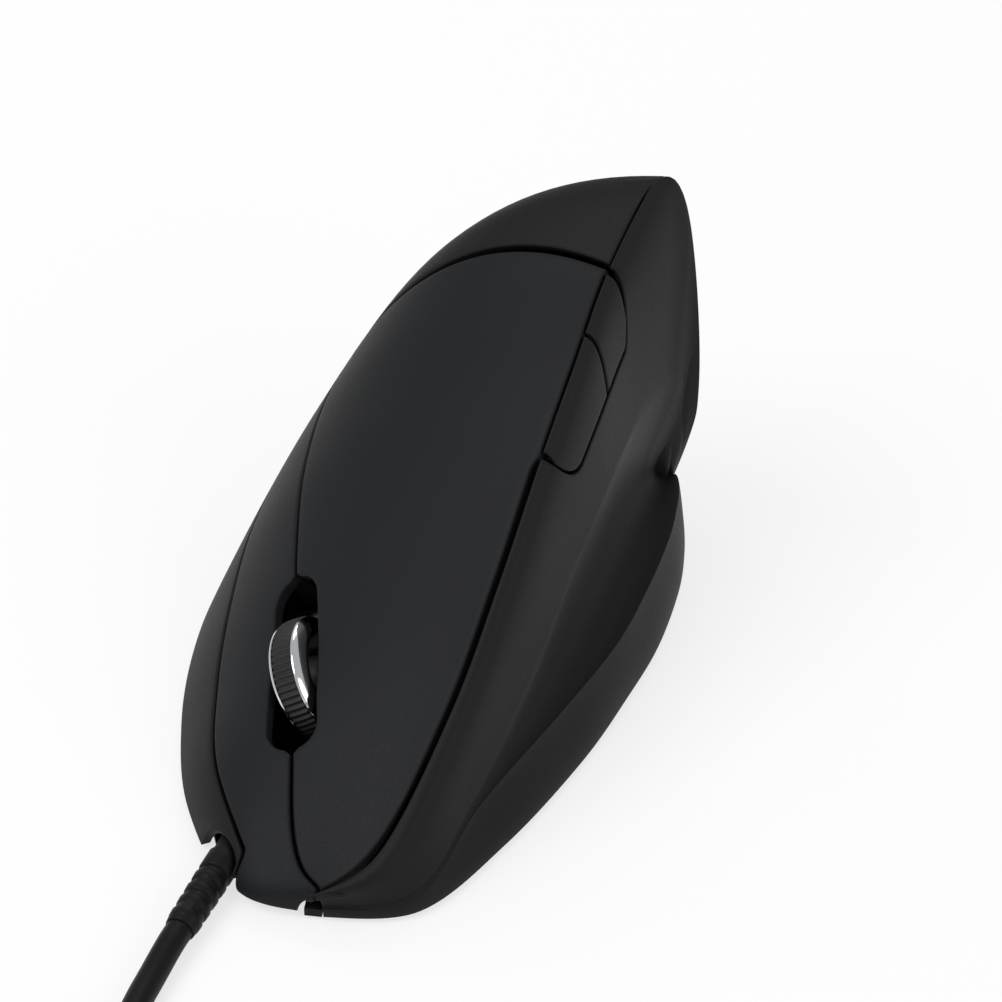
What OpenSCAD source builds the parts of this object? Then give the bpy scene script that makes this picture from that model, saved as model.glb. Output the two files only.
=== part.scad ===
// Wired vertical mouse for the right hand, in millimetres.
// The nose and the cable point to -Y, the thumb side is +X, and the desk is Z = 0.

/* [Body] */
// Length from the nose to the heel
body_length = 104; // [100:0.5:108]
// Width across the base
body_width = 72.6; // [70:0.2:75]
// Height of the fin at the back of the ridge
body_height = 71; // [68:0.5:74]
// Wall of the caps and shells
shell_wall = 1.8; // [1.5:0.1:2]
// Radius of the rounded edge along the ridge
ridge_round = 2.2; // [1.9:0.1:2.6]
// Height of the shells' lower edge over the desk
rim_lift = 0.8; // [0.7:0.05:1]

/* [Seams] */
// Gap along the ridge beside the upper button
ridge_gap = 1.2; // [1:0.05:1.4]
// Gap along the ridge beside the thumb buttons
thin_gap = 0.45; // [0.4:0.05:0.6]
// Gap between the two main buttons
middle_gap = 0.5; // [0.45:0.05:0.7]
// Gap between the lower button and the strip under it
strip_gap = 0.6; // [0.5:0.05:0.8]
// Gap behind the main buttons
rear_gap = 1; // [0.8:0.05:1.2]
// Gap around the thumb buttons
thumb_gap = 0.6; // [0.55:0.05:0.7]

/* [Wheel] */
// Diameter over the tyre
wheel_d = 18.4; // [17.6:0.2:19]
// Width of the tyre
tyre_width = 3.4; // [3:0.1:3.6]
// Thickness of each bright side ring
ring_width = 1.3; // [1.1:0.05:1.4]
// Depth of the wheel's centre under the caps
wheel_depth = 5.5; // [5.2:0.1:5.8]
// Width of the slot for the wheel
slot_width = 8; // [7.8:0.1:8.4]
// Length of the slot for the wheel
slot_length = 29; // [28:0.25:30]
// Diameter of the wheel's axle
axle_d = 3; // [2.6:0.1:3.2]

/* [Pins and switches] */
// Diameter of the buttons' hinge pin and the fork's pin
pin_d = 1.8; // [1.6:0.05:2]
// Diameter of the thumb buttons' hinge pin
thumb_pin_d = 1.2; // [1:0.05:1.3]
// Radial clearance of a turning fit
turn_gap = 0.05; // [0.03:0.01:0.08]
// Height of a click switch without its plunger
switch_height = 6.5; // [6.2:0.1:6.6]
// Height of the plunger over its switch
plunger_height = 0.7; // [0.6:0.05:0.8]
// Gap between a plunger and what presses it
press_gap = 0.15; // [0.1:0.01:0.2]

/* [Base] */
// Thickness of the base plate
base_thick = 2; // [1.8:0.1:2.2]
// Thickness of the glide feet
foot_thick = 0.6; // [0.5:0.05:0.7]
// Thickness of the circuit boards
board_thick = 1.2; // [1:0.1:1.4]
// Thread diameter of the screws
screw_d = 2; // [1.8:0.1:2.2]

/* [Cable] */
// Diameter of the cable
cable_d = 4; // [3.8:0.05:4.1]
// Distance between neighbouring turns of the coil
coil_pitch = 4.6; // [4.6:0.05:4.8]
// Outer radius of the coil at the cable's middle
coil_radius = 33.5; // [32.5:0.25:35]
// Width of the plug's moulded grip
grip_width = 15.5; // [14:0.25:17]
// Thickness of the plug's moulded grip
grip_thick = 8; // [7:0.1:8.6]

/* [Hidden] */
$fn = 48;
up = [0, 0, 1];

// Stations from the nose to the heel. Each row holds the ridge, the finger edge, the crease over the
// thumb, the ledge under the thumb and the thumb edge, then the slopes at the ridge and at the finger
// edge and how full the section is. Points are as drawn, from the tip of the nose.
stations = [
  [[-5.5, 0.2, 4], [-6.6, 0, 0], [-5, 0.1, 2.6], [-4.8, 0, 1.6], [-4.6, 0, 0], [40, 86, 0.36]],
  [[3.7, 5, 9.2], [-17, 2.4, 0], [9, 3.6, 3.4], [9.4, 3.2, 2.4], [9.6, 3, 0], [31, 84, 0.36]],
  [[11.5, 21, 22], [-27, 19, 0], [15.4, 17.5, 8.6], [16.2, 17.8, 7.4], [20, 18, 0], [30, 72, 0.36]],
  [[16.3, 36, 34], [-31.5, 36, 0], [21.8, 35, 17.8], [25.4, 36.5, 9.2], [28.8, 36.5, 0], [30, 63, 0.36]],
  [[20.3, 50.5, 45.5], [-33, 52, 0], [25.8, 50, 25.8], [31.8, 51, 10.2], [33.8, 51, 0], [26, 65, 0.37]],
  [[23.6, 62, 54], [-32, 67, 0], [29, 62, 31.2], [35, 63, 10.7], [37.2, 63, 0], [19, 70, 0.39]],
  [[26.8, 75, 61.5], [-28, 82, 0], [32, 75, 34.4], [37.2, 76, 10.7], [39, 76, 0], [13, 73, 0.42]],
  [[32, 85, 69.8], [-19, 94.5, 0], [35, 84.5, 33.4], [37.6, 85, 10.2], [39, 85, 0], [11, 78, 0.42]],
  [[35.2, 88.6, 67], [-6, 101.5, 0], [37, 88.6, 31.2], [37.4, 89.6, 9.7], [38.2, 90, 0], [14, 82, 0.39]],
  [[37.6, 90.5, 44.4], [10, 104, 0], [37.4, 91, 27.2], [36.8, 93, 9.2], [37, 93.5, 0], [24, 78, 0.36]],
  [[38, 92, 21.4], [24, 102.6, 0], [37.2, 93, 15.2], [35.8, 95.4, 7.4], [35.6, 96.2, 0], [24, 78, 0.36]],
  [[35, 96, 4], [32.6, 98.6, 0], [34.8, 96.6, 2.8], [34.2, 97.4, 1.8], [33.6, 97.9, 0], [24, 78, 0.36]]
];
last_station = len(stations) - 1;
drawn_size = [72.6, 104, 71];
drawn_middle = [3.28, 51.76, 0];

// Curves through the stations
grow = [body_width / drawn_size.x, body_length / drawn_size.y, body_height / drawn_size.z];
function place(p) = [(p.x - drawn_middle.x) * grow.x, (p.y - drawn_middle.y) * grow.y,
  rim_lift + p.z * grow.z];
ridge = [for (row = stations) place(row[0])];
finger_edge = [for (row = stations) place(row[1])];
crease = [for (row = stations) place(row[2])];
ledge = [for (row = stations) place(row[3])];
thumb_edge = [for (row = stations) place(row[4])];
slopes = [for (row = stations) row[5]];
function unit(v) = v / norm(v);
function level(v) = [v.x, v.y, 0];
function mix(a, b, f) = a + (b - a) * f;
function knot(list, i) = list[min(max(i, 0), len(list) - 1)];
function spline(list, t) =
  let (i = min(max(floor(t), 0), len(list) - 2), f = t - i, p = knot(list, i), q = knot(list, i + 1))
  let (m = (q - knot(list, i - 1)) / 2, k = (knot(list, i + 2) - p) / 2)
  p * (2 * f * f * f - 3 * f * f + 1) + m * (f * f * f - 2 * f * f + f)
  + q * (3 * f * f - 2 * f * f * f) + k * (f * f * f - f * f);
function bezier(c, s) =
  let (r = 1 - s)
  c[0] * r * r * r + c[1] * 3 * r * r * s + c[2] * 3 * r * s * s + c[3] * s * s * s;

// The leaf under the fingers and palm: s runs from the finger edge (0) to the ridge (1)
function deck_ribs(t) =
  let (top = spline(ridge, t), low = spline(finger_edge, t), lean = spline(slopes, t))
  let (h = unit(level(top - low)), chord = norm(top - low))
  let (reach = lean[2] * chord, part = min(1, (top.z - low.z) / (0.45 * chord)))
  [low, low + reach * part * (h * cos(lean[1]) + up * sin(lean[1])),
    top - reach * (h * cos(lean[0]) + up * sin(lean[0])), top];
function deck_point(s, t) = bezier(deck_ribs(t), s);
function deck_normal(s, t) =
  let (e = 0.004, ribs = deck_ribs(t))
  let (across = bezier(ribs, s + e) - bezier(ribs, s - e))
  let (along = deck_point(s, min(t + e, last_station)) - deck_point(s, max(t - e, 0)))
  unit(cross(across, along));
// Way into the wall: square to the leaf, but turned into the fin along its rear edge
rear_in = unit([-1, -0.35, -0.1]);
function ease(x) = let (f = min(max(x, 0), 1)) f * f * (3 - 2 * f);
function deck_in(s, t) =
  unit(mix(-deck_normal(s, t), rear_in, ease((t - 6.3) / 1.2) * ease((s - 0.75) / 0.25)));
// The wall thins towards the tip of the nose and beside the cable
function wall_at(t) = shell_wall * mix(0.4, 1, ease(t / 0.7)) * (1 - 0.5 * exp(-pow((t - 1.4) / 0.26, 2)));
function deck_pair(s, t) =
  let (p = deck_point(s, t), q = p + deck_in(s, t) * wall_at(t)) [p, [q.x, q.y, max(q.z, rim_lift)]];
// Share of s that makes a distance on the leaf
function deck_step(s, t, distance) =
  let (ribs = deck_ribs(t))
  distance * 0.02 / norm(bezier(ribs, s + 0.01) - bezier(ribs, s - 0.01));

// The leaf on the thumb side: u runs over ridge (0), crease (1), ledge (2) and thumb edge (3)
function thumb_out(t) =
  let (d = spline(thumb_edge, min(t + 0.02, last_station)) - spline(thumb_edge, max(t - 0.02, 0)))
  unit([d.y, -d.x, 0]);
function thumb_ribs(t, inset) =
  let (o = thumb_out(t), top = spline(ridge, t) + inset * deck_in(1, t))
  [top, spline(crease, t) - inset * (o + 0.15 * up), spline(ledge, t) - inset * (o + 0.85 * up),
    spline(thumb_edge, t) - inset * o, o, max(ridge_round - inset, 0.5)];
function thumb_from(ribs, u) =
  let (o = ribs[4], top = ribs[0], fold = ribs[1], shelf = ribs[2], low = ribs[3])
  let (drop = norm(top - fold), dip = (fold - shelf).z, skirt = (shelf - low).z)
  u <= 1 ? bezier([top, top + min(ribs[5], 0.3 * drop) * 1.6 * o,
      mix(fold, top, 0.5) + 0.9 * o * min(1, drop / 12), fold], u)
  : u <= 2 ? bezier([fold, fold - up * dip * 0.55 - o * 0.1 * dip, shelf - o * 0.45 * dip, shelf], u - 1)
  : bezier([shelf, shelf - up * skirt * 0.3 + o * 0.6 * min(1, skirt / 6),
      low + up * skirt * 0.35 + o * 0.1, low], u - 2);
function thumb_point(u, t, inset = 0) = thumb_from(thumb_ribs(t, inset), u);

// Closed plate between an outer and an inner grid of points; keep says which cells are there
module plate(pairs, keep) {
  rows = len(pairs);
  columns = len(pairs[0]);
  inner = rows * columns;
  function at(i, j) = i * columns + j;
  function kept(i, j) = i < 0 || j < 0 || i > rows - 2 || j > columns - 2 ? false : keep[i][j];
  function wall(p, q) = [[q + inner, p + inner, p], [q + inner, p, q]];
  points = concat([for (row = pairs) for (pair = row) pair[0]], [for (row = pairs) for (pair = row) pair[1]]);
  faces = [for (i = [0:rows - 2]) for (j = [0:columns - 2]) if (kept(i, j))
    let (a = at(i, j), b = at(i, j + 1), c = at(i + 1, j + 1), d = at(i + 1, j))
    each concat([[a, c, b], [a, d, c],
      [a + inner, b + inner, c + inner], [a + inner, c + inner, d + inner]],
      kept(i - 1, j) ? [] : wall(a, b), kept(i, j + 1) ? [] : wall(b, c),
      kept(i + 1, j) ? [] : wall(c, d), kept(i, j - 1) ? [] : wall(d, a))];
  polyhedron(points = points, faces = faces, convexity = 8);
}
function all_kept(pairs) = [for (i = [1:len(pairs) - 1]) [for (j = [1:len(pairs[0]) - 1]) true]];

// Seams on the leaf under the fingers
nose_station = 0.12;
left_nose = 0.42;
window_start = 4;
window_end = 6.04;
middle_seam = [0.9, 0.568, 0.493, 0.444, 0.4, 0.375, 0.36, 0.35];
finger_seam = [0.29, 0.29, 0.2, 0.17, 0.172, 0.176, 0.18, 0.18];
low_share = 0.05;
strip_start = 1.1;
function middle_share(t) = spline(middle_seam, t);
function finger_share(t) = mix(low_share, spline(finger_seam, t), ease((t - 0.95) / 0.35));
function rear_station(s) = 6.5 - 0.46 * pow(max(s, 0), 6);

// Wheel axes: a along the axle towards the ridge, b to the rear, c out of the caps
deck_tilt = 30;
deck_pitch = 18;
axis_a = [cos(deck_tilt), 0, sin(deck_tilt)];
axis_b = [-sin(deck_pitch) * sin(deck_tilt), cos(deck_pitch), sin(deck_pitch) * cos(deck_tilt)];
axis_c = cross(axis_a, axis_b);
wheel_station = 2.82;
wheel_centre = deck_point(0.452, wheel_station) - wheel_depth * axis_c;
module deck() translate(wheel_centre) rotate([deck_pitch, -deck_tilt, 0]) children();
function to_deck(p) = let (q = p - wheel_centre) [q * axis_a, q * axis_b, q * axis_c];
function from_deck(a, b, c) = wheel_centre + a * axis_a + b * axis_b + c * axis_c;
// Height of the caps' outer face over a place in the wheel's axes, closed in on step by step
function cap_height(a, b, s = 0.42, t = 3.6, steps = 16) =
  let (q = to_deck(deck_point(s, t)))
  steps == 0 ? q.z : cap_height(a, b, s + (a - q.x) / 60, t + (b - q.y) / 16, steps - 1);
// Lowest place of the caps' inner face over a rectangle, less the gap for glue
function pad_top(a0, a1, b0, b1) =
  min([for (a = [a0, a1]) for (b = [b0, b1]) cap_height(a, b)]) - 1.12 * shell_wall - 0.2;

// Half width of the seam between the main buttons, opened to the slot around the wheel
slot_radius = slot_width / 2;
slot_straight = slot_length / 2 - slot_radius;
function slot_half(t) =
  let (b = abs(to_deck(deck_point(middle_share(t), t)).y))
  b >= slot_length / 2 ? middle_gap / 2
  : max(middle_gap / 2, b <= slot_straight ? slot_radius
      : sqrt(pow(slot_radius, 2) - pow(b - slot_straight, 2)));
slot_turns = [0, 28, 50, 66, 79, 90];
station_mm = 17.3;
function slot_station(b) = wheel_station + b / station_mm;
slot_front = [for (i = [5:-1:0]) slot_station(-slot_straight - slot_radius * sin(slot_turns[i]))];
slot_rear = [for (turn = slot_turns) slot_station(slot_straight + slot_radius * sin(turn))];
cap_stations = concat(
  [nose_station, 0.2, 0.3, 0.42, 0.56, 0.7, 0.84, 0.95, 1.02, 1.08, 1.14, 1.2, 1.27, 1.36,
    1.52, 1.66, 1.8, 1.92],
  slot_front, [for (f = [0.14:0.143:0.9]) mix(slot_front[5], slot_rear[0], f)], slot_rear,
  [3.8, 3.92, 4, 4.1, 4.3, 4.6, 4.9, 5.2, 5.5]);
cap_last = 5.5;
cap_ends = [0.2, 0.4, 0.6, 0.75, 0.88, 1];

// Side frame: x out of the thumb face, y along the ridge to the rear, z up the face
side_from = spline(ridge, window_start);
side_to = spline(ridge, window_end - 0.04);
side_y = unit(side_to - side_from);
side_face = [0.93, -0.31, 0.17];
side_x = unit(side_face - side_y * (side_face * side_y));
side_z = cross(side_x, side_y);
side_origin = (side_from + side_to) / 2;
module side() {
  multmatrix([[side_x.x, side_y.x, side_z.x, side_origin.x], [side_x.y, side_y.y, side_z.y, side_origin.y],
    [side_x.z, side_y.z, side_z.z, side_origin.z], [0, 0, 0, 1]]) children();
}
function to_side(p) = let (q = p - side_origin) [q * side_x, q * side_y, q * side_z];
function from_side(x, y, z) = side_origin + x * side_x + y * side_y + z * side_z;

// Sizes in the wheel's axes
wheel_r = wheel_d / 2;
axle_r = axle_d / 2;
pin_r = pin_d / 2;
board_top = -12;
board_under = board_top - board_thick;
frame_thick = 2;
frame_under = board_under - frame_thick;
switch_top = board_top + switch_height;
plunger_top = switch_top + plunger_height;
lever_under = plunger_top + press_gap;
lever_thick = 1.5;
hinge_b = 40;
hinge_c = -6.8;
boss_r = pin_r + 0.85;
left_a = 9.5;
right_a = -2.6;
lever_width = 2.8;
plunger_b = 20.5;
frame_wall = 1.5;
frame_right = -7.6;
frame_left = 14.6;
fork_b = 14;
fork_c = -5.2;
fork_in = tyre_width / 2 + ring_width + 0.8;
fork_out = fork_in + 1.6;
middle_a = 8;
middle_b = 7.6;
middle_height = 4.3;
foot_under = board_top + middle_height + 1.1 + press_gap;

// Sizes in the side frame
side_pin_r = thumb_pin_d / 2;
side_pin_x = -1.2;
side_pin_z = -4.3;
sleeve_r = side_pin_r + 0.75;
side_plate_x = -7;
side_plate_thick = 1.6;
side_switch_height = 3.4;
forward_spot = to_side(thumb_point(0.62, 4.72, shell_wall));
back_spot = to_side(thumb_point(0.62, 5.68, shell_wall));

// Levels and places over the base
base_low = foot_thick;
base_top = base_low + base_thick;
post_r = 3;
main_low = base_top + 1.6;
main_top = main_low + board_thick;
function flat_of(p) = [p.x, p.y];
function spot(x, y) = flat_of(place([x, y, 0]));
frame_posts = [for (q = [[-4, 27], [12, 27], [7.4, 38.6]]) flat_of(from_deck(q[0], q[1], frame_under + 1))];
side_feet = [from_side(side_plate_x - 0.8, -8.5, -14), from_side(side_plate_x - 0.8, 8.5, -14)];
side_posts = [for (q = side_feet) flat_of(q)];
sensor_spot = spot(10.5, 72.5);
main_corner = spot(-10.1, 58.5);
main_size = [40.1, 28];
board_bosses = [frame_posts[2] + [-4.4, 6.2], spot(26.5, 84), spot(26.5, 61.5)];
socket_spot = spot(12.8, 58.7);

// Cable
cable_r = cable_d / 2;
relief_r = cable_r + 0.55;
cable_exit = [place([-19.58, 5.4, 0]).x, place([-19.58, 5.4, 0]).y, 2.8];
cable_way = unit([-0.248, -0.969, -0.014]);
relief_out = 12.5;
relief_in = 8.5;
relief_end = cable_exit + relief_out * cable_way;
function plain_spot(x, y, z) = [x - drawn_middle.x, y - drawn_middle.y, z];
cable_floor = cable_r + 0.06;
coil_low = cable_r + 1.1;
coil_rise = coil_pitch;
coil_turns = 4.875;
coil_middle = plain_spot(-27.5 + coil_radius, -74, 0);
coil_start = [coil_middle.x - coil_radius, coil_middle.y, coil_low];
route = [relief_end - 2 * cable_way, relief_end, relief_end + cable_way * 3.2,
  plain_spot(-24.7, -15, cable_floor), plain_spot(-25.9, -21.5, cable_floor),
  plain_spot(-26.9, -31, cable_floor), plain_spot(-27.5, -41, cable_floor),
  [coil_start.x, coil_start.y + 22, cable_floor], [coil_start.x, coil_start.y + 12, cable_floor + 0.5],
  coil_start + [0, cable_d + 2.4, 0]];
// Radius, angle and height of the coil at a share of its way: in, up a layer in half a turn, and out
function coil_point(turn) =
  let (half = coil_turns + 0.25, inward = half - abs(turn - half))
  let (r = coil_radius - coil_pitch * inward, angle = 180 + 360 * turn)
  let (climb = min(max((turn - coil_turns) / 0.5, 0), 1))
  [coil_middle.x + r * cos(angle), coil_middle.y + r * sin(angle), coil_low + coil_rise * climb];
coil_full = 2 * coil_turns + 0.4;
coil_steps = round(coil_full * 24);
coil_end = coil_point(coil_full);
coil_way = unit(level(coil_end - coil_point(coil_full - 0.01)));
coil_path = concat([coil_start + [0, cable_d, 0]],
  [for (i = [0:coil_steps]) coil_point(i * coil_full / coil_steps)], [coil_end + coil_way * cable_d]);
// The plug lies beside the coil; its lead leaves the coil straight on and comes straight into the grip
grip_root = [coil_middle.x + 12.5, coil_middle.y - coil_radius - 10.8, grip_thick / 2 + 0.05];
grip_length = 20;
plug_out = 12;
lead_route = [coil_end + coil_way * 7, coil_end + coil_way * 13 - up * 0.3,
  coil_end + coil_way * 19 - up * 1.5,
  coil_end + coil_way * 25 - up * 2.8, grip_root - [6.6, -0.5, -0.15], grip_root - [3.4, 0, 0]];
function spot_at(x, y, z) = [spot(x, y).x, spot(x, y).y, z];
tail_route = [cable_exit - cable_way * (relief_in - 0.4), cable_exit - cable_way * (relief_in + 3.4),
  spot_at(-15.2, 22.5, base_top + 1.5), spot_at(-16.5, 36, base_top + 1.5), spot_at(-12, 47, base_top + 1.5),
  spot_at(0, 52, base_top + 2), spot_at(9, 53.6, main_top + 0.8),
  [socket_spot.x - 0.4, socket_spot.y - 2, main_top + 1.3],
  [socket_spot.x, socket_spot.y + 1.3, main_top + 1.5]];

// Round tube along points, with rings square to the path
module tube(path, radius, sides) {
  count = len(path);
  rings = [for (i = [0:count - 1])
    let (ahead = unit(path[min(i + 1, count - 1)] - path[max(i - 1, 0)]))
    let (across = unit(cross(ahead, up)), over = cross(across, ahead))
    [for (k = [0:sides - 1]) path[i]
      + radius * (across * cos(360 * (k + 0.5) / sides) + over * sin(360 * (k + 0.5) / sides))]];
  last = (count - 1) * sides;
  faces = concat([[for (k = [0:sides - 1]) k]], [[for (k = [sides - 1:-1:0]) last + k]],
    [for (i = [0:count - 2]) for (k = [0:sides - 1])
      let (a = i * sides + k, b = i * sides + (k + 1) % sides)
      each [[a, a + sides, b], [b, a + sides, b + sides]]]);
  polyhedron(points = [for (ring = rings) each ring], faces = faces, convexity = 10);
}
function smooth(route, parts) =
  [for (i = [0:(len(route) - 1) * parts]) spline(route, i / parts)];

// Small shapes
module box(from, to) translate(from) cube(to - from);
module rod_x(r, from, to, at = [0, 0])
  translate([from, at[0], at[1]]) rotate([0, 90, 0]) cylinder(r = r, h = to - from);
module rod_y(r, from, to, at = [0, 0])
  translate([at[0], from, at[1]]) rotate([-90, 0, 0]) cylinder(r = r, h = to - from);
module rod_z(r, from, to, at = [0, 0]) translate([at[0], at[1], from]) cylinder(r = r, h = to - from);
module along(from, way) {
  turn = atan2(way.y, way.x);
  fall = acos(way.z / norm(way));
  translate(from) rotate([0, fall, turn]) children();
}
module stadium(length, width) {
  square([length - width, width], center = true);
  for (x = [-1, 1]) translate([x * (length - width) / 2, 0]) circle(d = width);
}

// Base and feet
function edge_normal(edge, t, turn) =
  let (d = spline(edge, min(t + 0.02, last_station)) - spline(edge, max(t - 0.02, 0)))
  unit(turn * [-d.y, d.x]);
function base_inset(t) = wall_at(t) + 0.75 + 2.2 * ease((1.35 - t) / 0.3);
function thumb_inset(t) = shell_wall + 0.75 + 2 * max(0, 1 - t / 2);
function finger_line(t, inset) = flat_of(spline(finger_edge, t)) - inset * edge_normal(finger_edge, t, 1);
function thumb_line(t, inset) = flat_of(spline(thumb_edge, t)) - inset * edge_normal(thumb_edge, t, -1);
base_stations = concat([for (t = [0.5:0.25:1]) t], [1.1, 1.2, 1.28, 1.36], [for (t = [1.5:0.25:10.75]) t]);
function base_outline(more) = concat([for (t = base_stations) finger_line(t, base_inset(t) + more)],
  [for (i = [len(base_stations) - 1:-1:0]) thumb_line(base_stations[i], thumb_inset(base_stations[i]))]);
base_step = 0.9;
// Tongue of the base between the shells at the nose
nose_front = spline(finger_edge, 0).y + 0.3;
nose_left = spline(finger_edge, nose_station).x + 1.05;
nose_right = spline(thumb_edge, nose_station).x - 0.25;
screw_r = screw_d / 2;
head_r = screw_d;
head_thick = 1;
module screw(at, from, to) {
  rod_z(screw_r, from + head_thick / 2, to, at);
  rod_z(head_r, from, from + head_thick, at);
}
case_posts = concat(frame_posts, side_posts);
module base_plate() {
  color("#1c1c1e") difference() {
    union() {
      translate([0, 0, base_low]) linear_extrude(base_step) polygon(base_outline(0));
      translate([0, 0, base_low + base_step / 2]) linear_extrude(base_thick - base_step / 2)
        polygon(base_outline(0.8));
      for (p = board_bosses) rod_z(2.2, base_low + 0.2, main_low, p);
      box([nose_left, nose_front, base_low], [nose_right, nose_front + 6, base_low + 1.4]);
    }
    for (p = board_bosses) rod_z(screw_r + 0.05, base_low - 1, main_low + 1, p);
    for (p = case_posts) {
      rod_z(screw_r + 0.2, base_low - 1, base_top + 1, p);
      rod_z(head_r + 0.2, base_low - 1, base_low + head_thick + 0.1, p);
    }
    translate([sensor_spot.x - 6, sensor_spot.y - 4.5, base_low - 1]) cube([12, 9, base_thick + 2]);
    along(cable_exit - 16 * cable_way, cable_way) cylinder(r = relief_r + 0.5, h = 30);
  }
}
module foot(at, length, width, turn) {
  color("#3a3a3c") translate([at.x, at.y, 0]) rotate(turn) linear_extrude(foot_thick) stadium(length, width);
}
module foot_front() foot(spot(-4, 17), 26, 7, 0);
module foot_finger_side() foot(spot(-16, 83.5), 22, 7, 54);
module foot_thumb_side() foot(spot(30.5, 74), 22, 7, 90);
module case_screws() {
  color("#8c8c90") for (p = case_posts) screw(p, base_low + 0.1, base_top + 5);
}

// Frame that carries the buttons and the wheel
module frame_side(a) {
  box([a, 23, frame_under], [a + frame_wall, hinge_b + boss_r, hinge_c]);
  box([a, fork_b - 2.1, fork_c - 2], [a + frame_wall, 26, fork_c + 1.2]);
  rod_x(pin_r + 1.2, a, a + frame_wall, [fork_b, fork_c]);
  rod_x(boss_r, a, a + frame_wall, [hinge_b, hinge_c]);
}
module inner_frame() {
  color("#2a2a2c") difference() {
    union() {
      deck() {
        box([frame_right, 23, frame_under], [frame_left, hinge_b + boss_r, board_under]);
        frame_side(frame_right);
        frame_side(frame_left - frame_wall);
        box([2, hinge_b - boss_r, frame_under], [4.6, hinge_b + boss_r, hinge_c]);
        rod_x(boss_r, 2, 4.6, [hinge_b, hinge_c]);
      }
      difference() {
        for (p = frame_posts) rod_z(post_r, base_top, base_top + 30, p);
        deck() translate([-40, -40, board_under - 0.5]) cube([120, 140, 60]);
      }
    }
    deck() {
      rod_x(pin_r + 0.02, frame_right - 1, frame_left + 1, [hinge_b, hinge_c]);
      rod_x(pin_r + 0.02, frame_right - 1, frame_left + 1, [fork_b, fork_c]);
    }
    for (p = frame_posts) rod_z(screw_r + 0.05, base_top - 1, base_top + 6, p);
  }
}
module hinge_pin() color("#b8b8bc") deck() rod_x(pin_r, frame_right, frame_left, [hinge_b, hinge_c]);
module fork_pin() color("#b8b8bc") deck() rod_x(pin_r, frame_right, frame_left, [fork_b, fork_c]);
module button_board() {
  color("#1f5a3a") deck() {
    box([frame_right + frame_wall + 0.3, 15.5, board_under], [frame_left - frame_wall - 0.3, 36, board_top]);
    box([4.8, -4, board_under], [frame_left - frame_wall - 0.3, 15.6, board_top]);
  }
}

// Click switches, their plungers and the levers of the main buttons
module click_switch(a) {
  color("#202024") deck() difference() {
    box([a - 2.9, 17.6, board_top], [a + 2.9, 30.4, switch_top]);
    box([a - 0.8, plunger_b - 1.4, switch_top - 1.8], [a + 0.8, plunger_b + 1.4, switch_top + 1]);
  }
}
module click_plunger(a) {
  color("#c8c8c8") deck()
    box([a - 0.6, plunger_b - 1.2, switch_top - 1], [a + 0.6, plunger_b + 1.2, plunger_top]);
}
module left_switch() click_switch(left_a);
module right_switch() click_switch(right_a);
module left_plunger() click_plunger(left_a);
module right_plunger() click_plunger(right_a);
module lever(a) {
  a0 = a - lever_width / 2;
  a1 = a + lever_width / 2;
  color("#303034") deck() difference() {
    union() {
      box([a0, 17, lever_under], [a1, hinge_b + boss_r, lever_under + lever_thick]);
      box([a0, 17, lever_under], [a1, 21, pad_top(a0, a1, 17, 21)]);
      box([a0, hinge_b - boss_r, hinge_c], [a1, hinge_b + boss_r, lever_under + 0.1]);
      rod_x(boss_r, a0, a1, [hinge_b, hinge_c]);
    }
    rod_x(pin_r + turn_gap, a0 - 1, a1 + 1, [hinge_b, hinge_c]);
  }
}
module left_lever() lever(left_a);
module right_lever() lever(right_a);
module middle_switch() {
  color("#202024") deck() difference() {
    box([middle_a - 2.8, middle_b - 3, board_top], [middle_a + 3, middle_b + 3, board_top + middle_height]);
    rod_z(1.7, board_top + middle_height - 1.6, board_top + middle_height + 1, [middle_a, middle_b]);
  }
}
module middle_plunger() {
  color("#c8c8c8") deck()
    rod_z(1.5, board_top + middle_height - 0.8, board_top + middle_height + 1.1, [middle_a, middle_b]);
}

// Main buttons and shells
left_columns = [0, 0.1, 0.22, 0.35, 0.48, 0.61, 0.74, 0.88, 1];
right_columns = [0, 0.12, 0.28, 0.46, 0.64, 0.82, 1];
function ridge_room(t) = mix(ridge_gap, thin_gap, min(max((t - window_start + 0.06) / 0.1, 0), 1))
  + 0.9 * ease((1.5 - t) / 0.8);
function left_low(t) = middle_share(t) + deck_step(middle_share(t), t, slot_half(t));
function left_high(t) = 1 - deck_step(0.98, t, ridge_room(t));
function right_low(t) = finger_share(t) + deck_step(finger_share(t), t, strip_gap / 2);
function right_high(t) = middle_share(t) - deck_step(middle_share(t), t, slot_half(t));
function rear_edge(s, room) = rear_station(s) + room / station_mm;
module left_button() {
  pairs = concat(
    [for (t = concat([left_nose], [for (t = cap_stations) if (t > left_nose) t]))
      [for (f = left_columns) deck_pair(mix(left_low(t), left_high(t), f), t)]],
    [for (e = cap_ends) [for (f = left_columns)
      let (t = mix(cap_last, rear_edge(mix(left_low(6), left_high(6), f), -rear_gap / 2), e))
      deck_pair(mix(left_low(t), left_high(t), f), t)]]);
  color("#2d2e30") plate(pairs, all_kept(pairs));
}
module right_button() {
  pairs = concat(
    [for (t = cap_stations) [for (f = right_columns) deck_pair(mix(right_low(t), right_high(t), f), t)]],
    [for (e = cap_ends) [for (f = right_columns)
      let (t = mix(cap_last, rear_edge(mix(right_low(6), right_high(6), f), -rear_gap / 2), e))
      deck_pair(mix(right_low(t), right_high(t), f), t)]]);
  color("#2d2e30") plate(pairs, all_kept(pairs));
}
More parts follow.
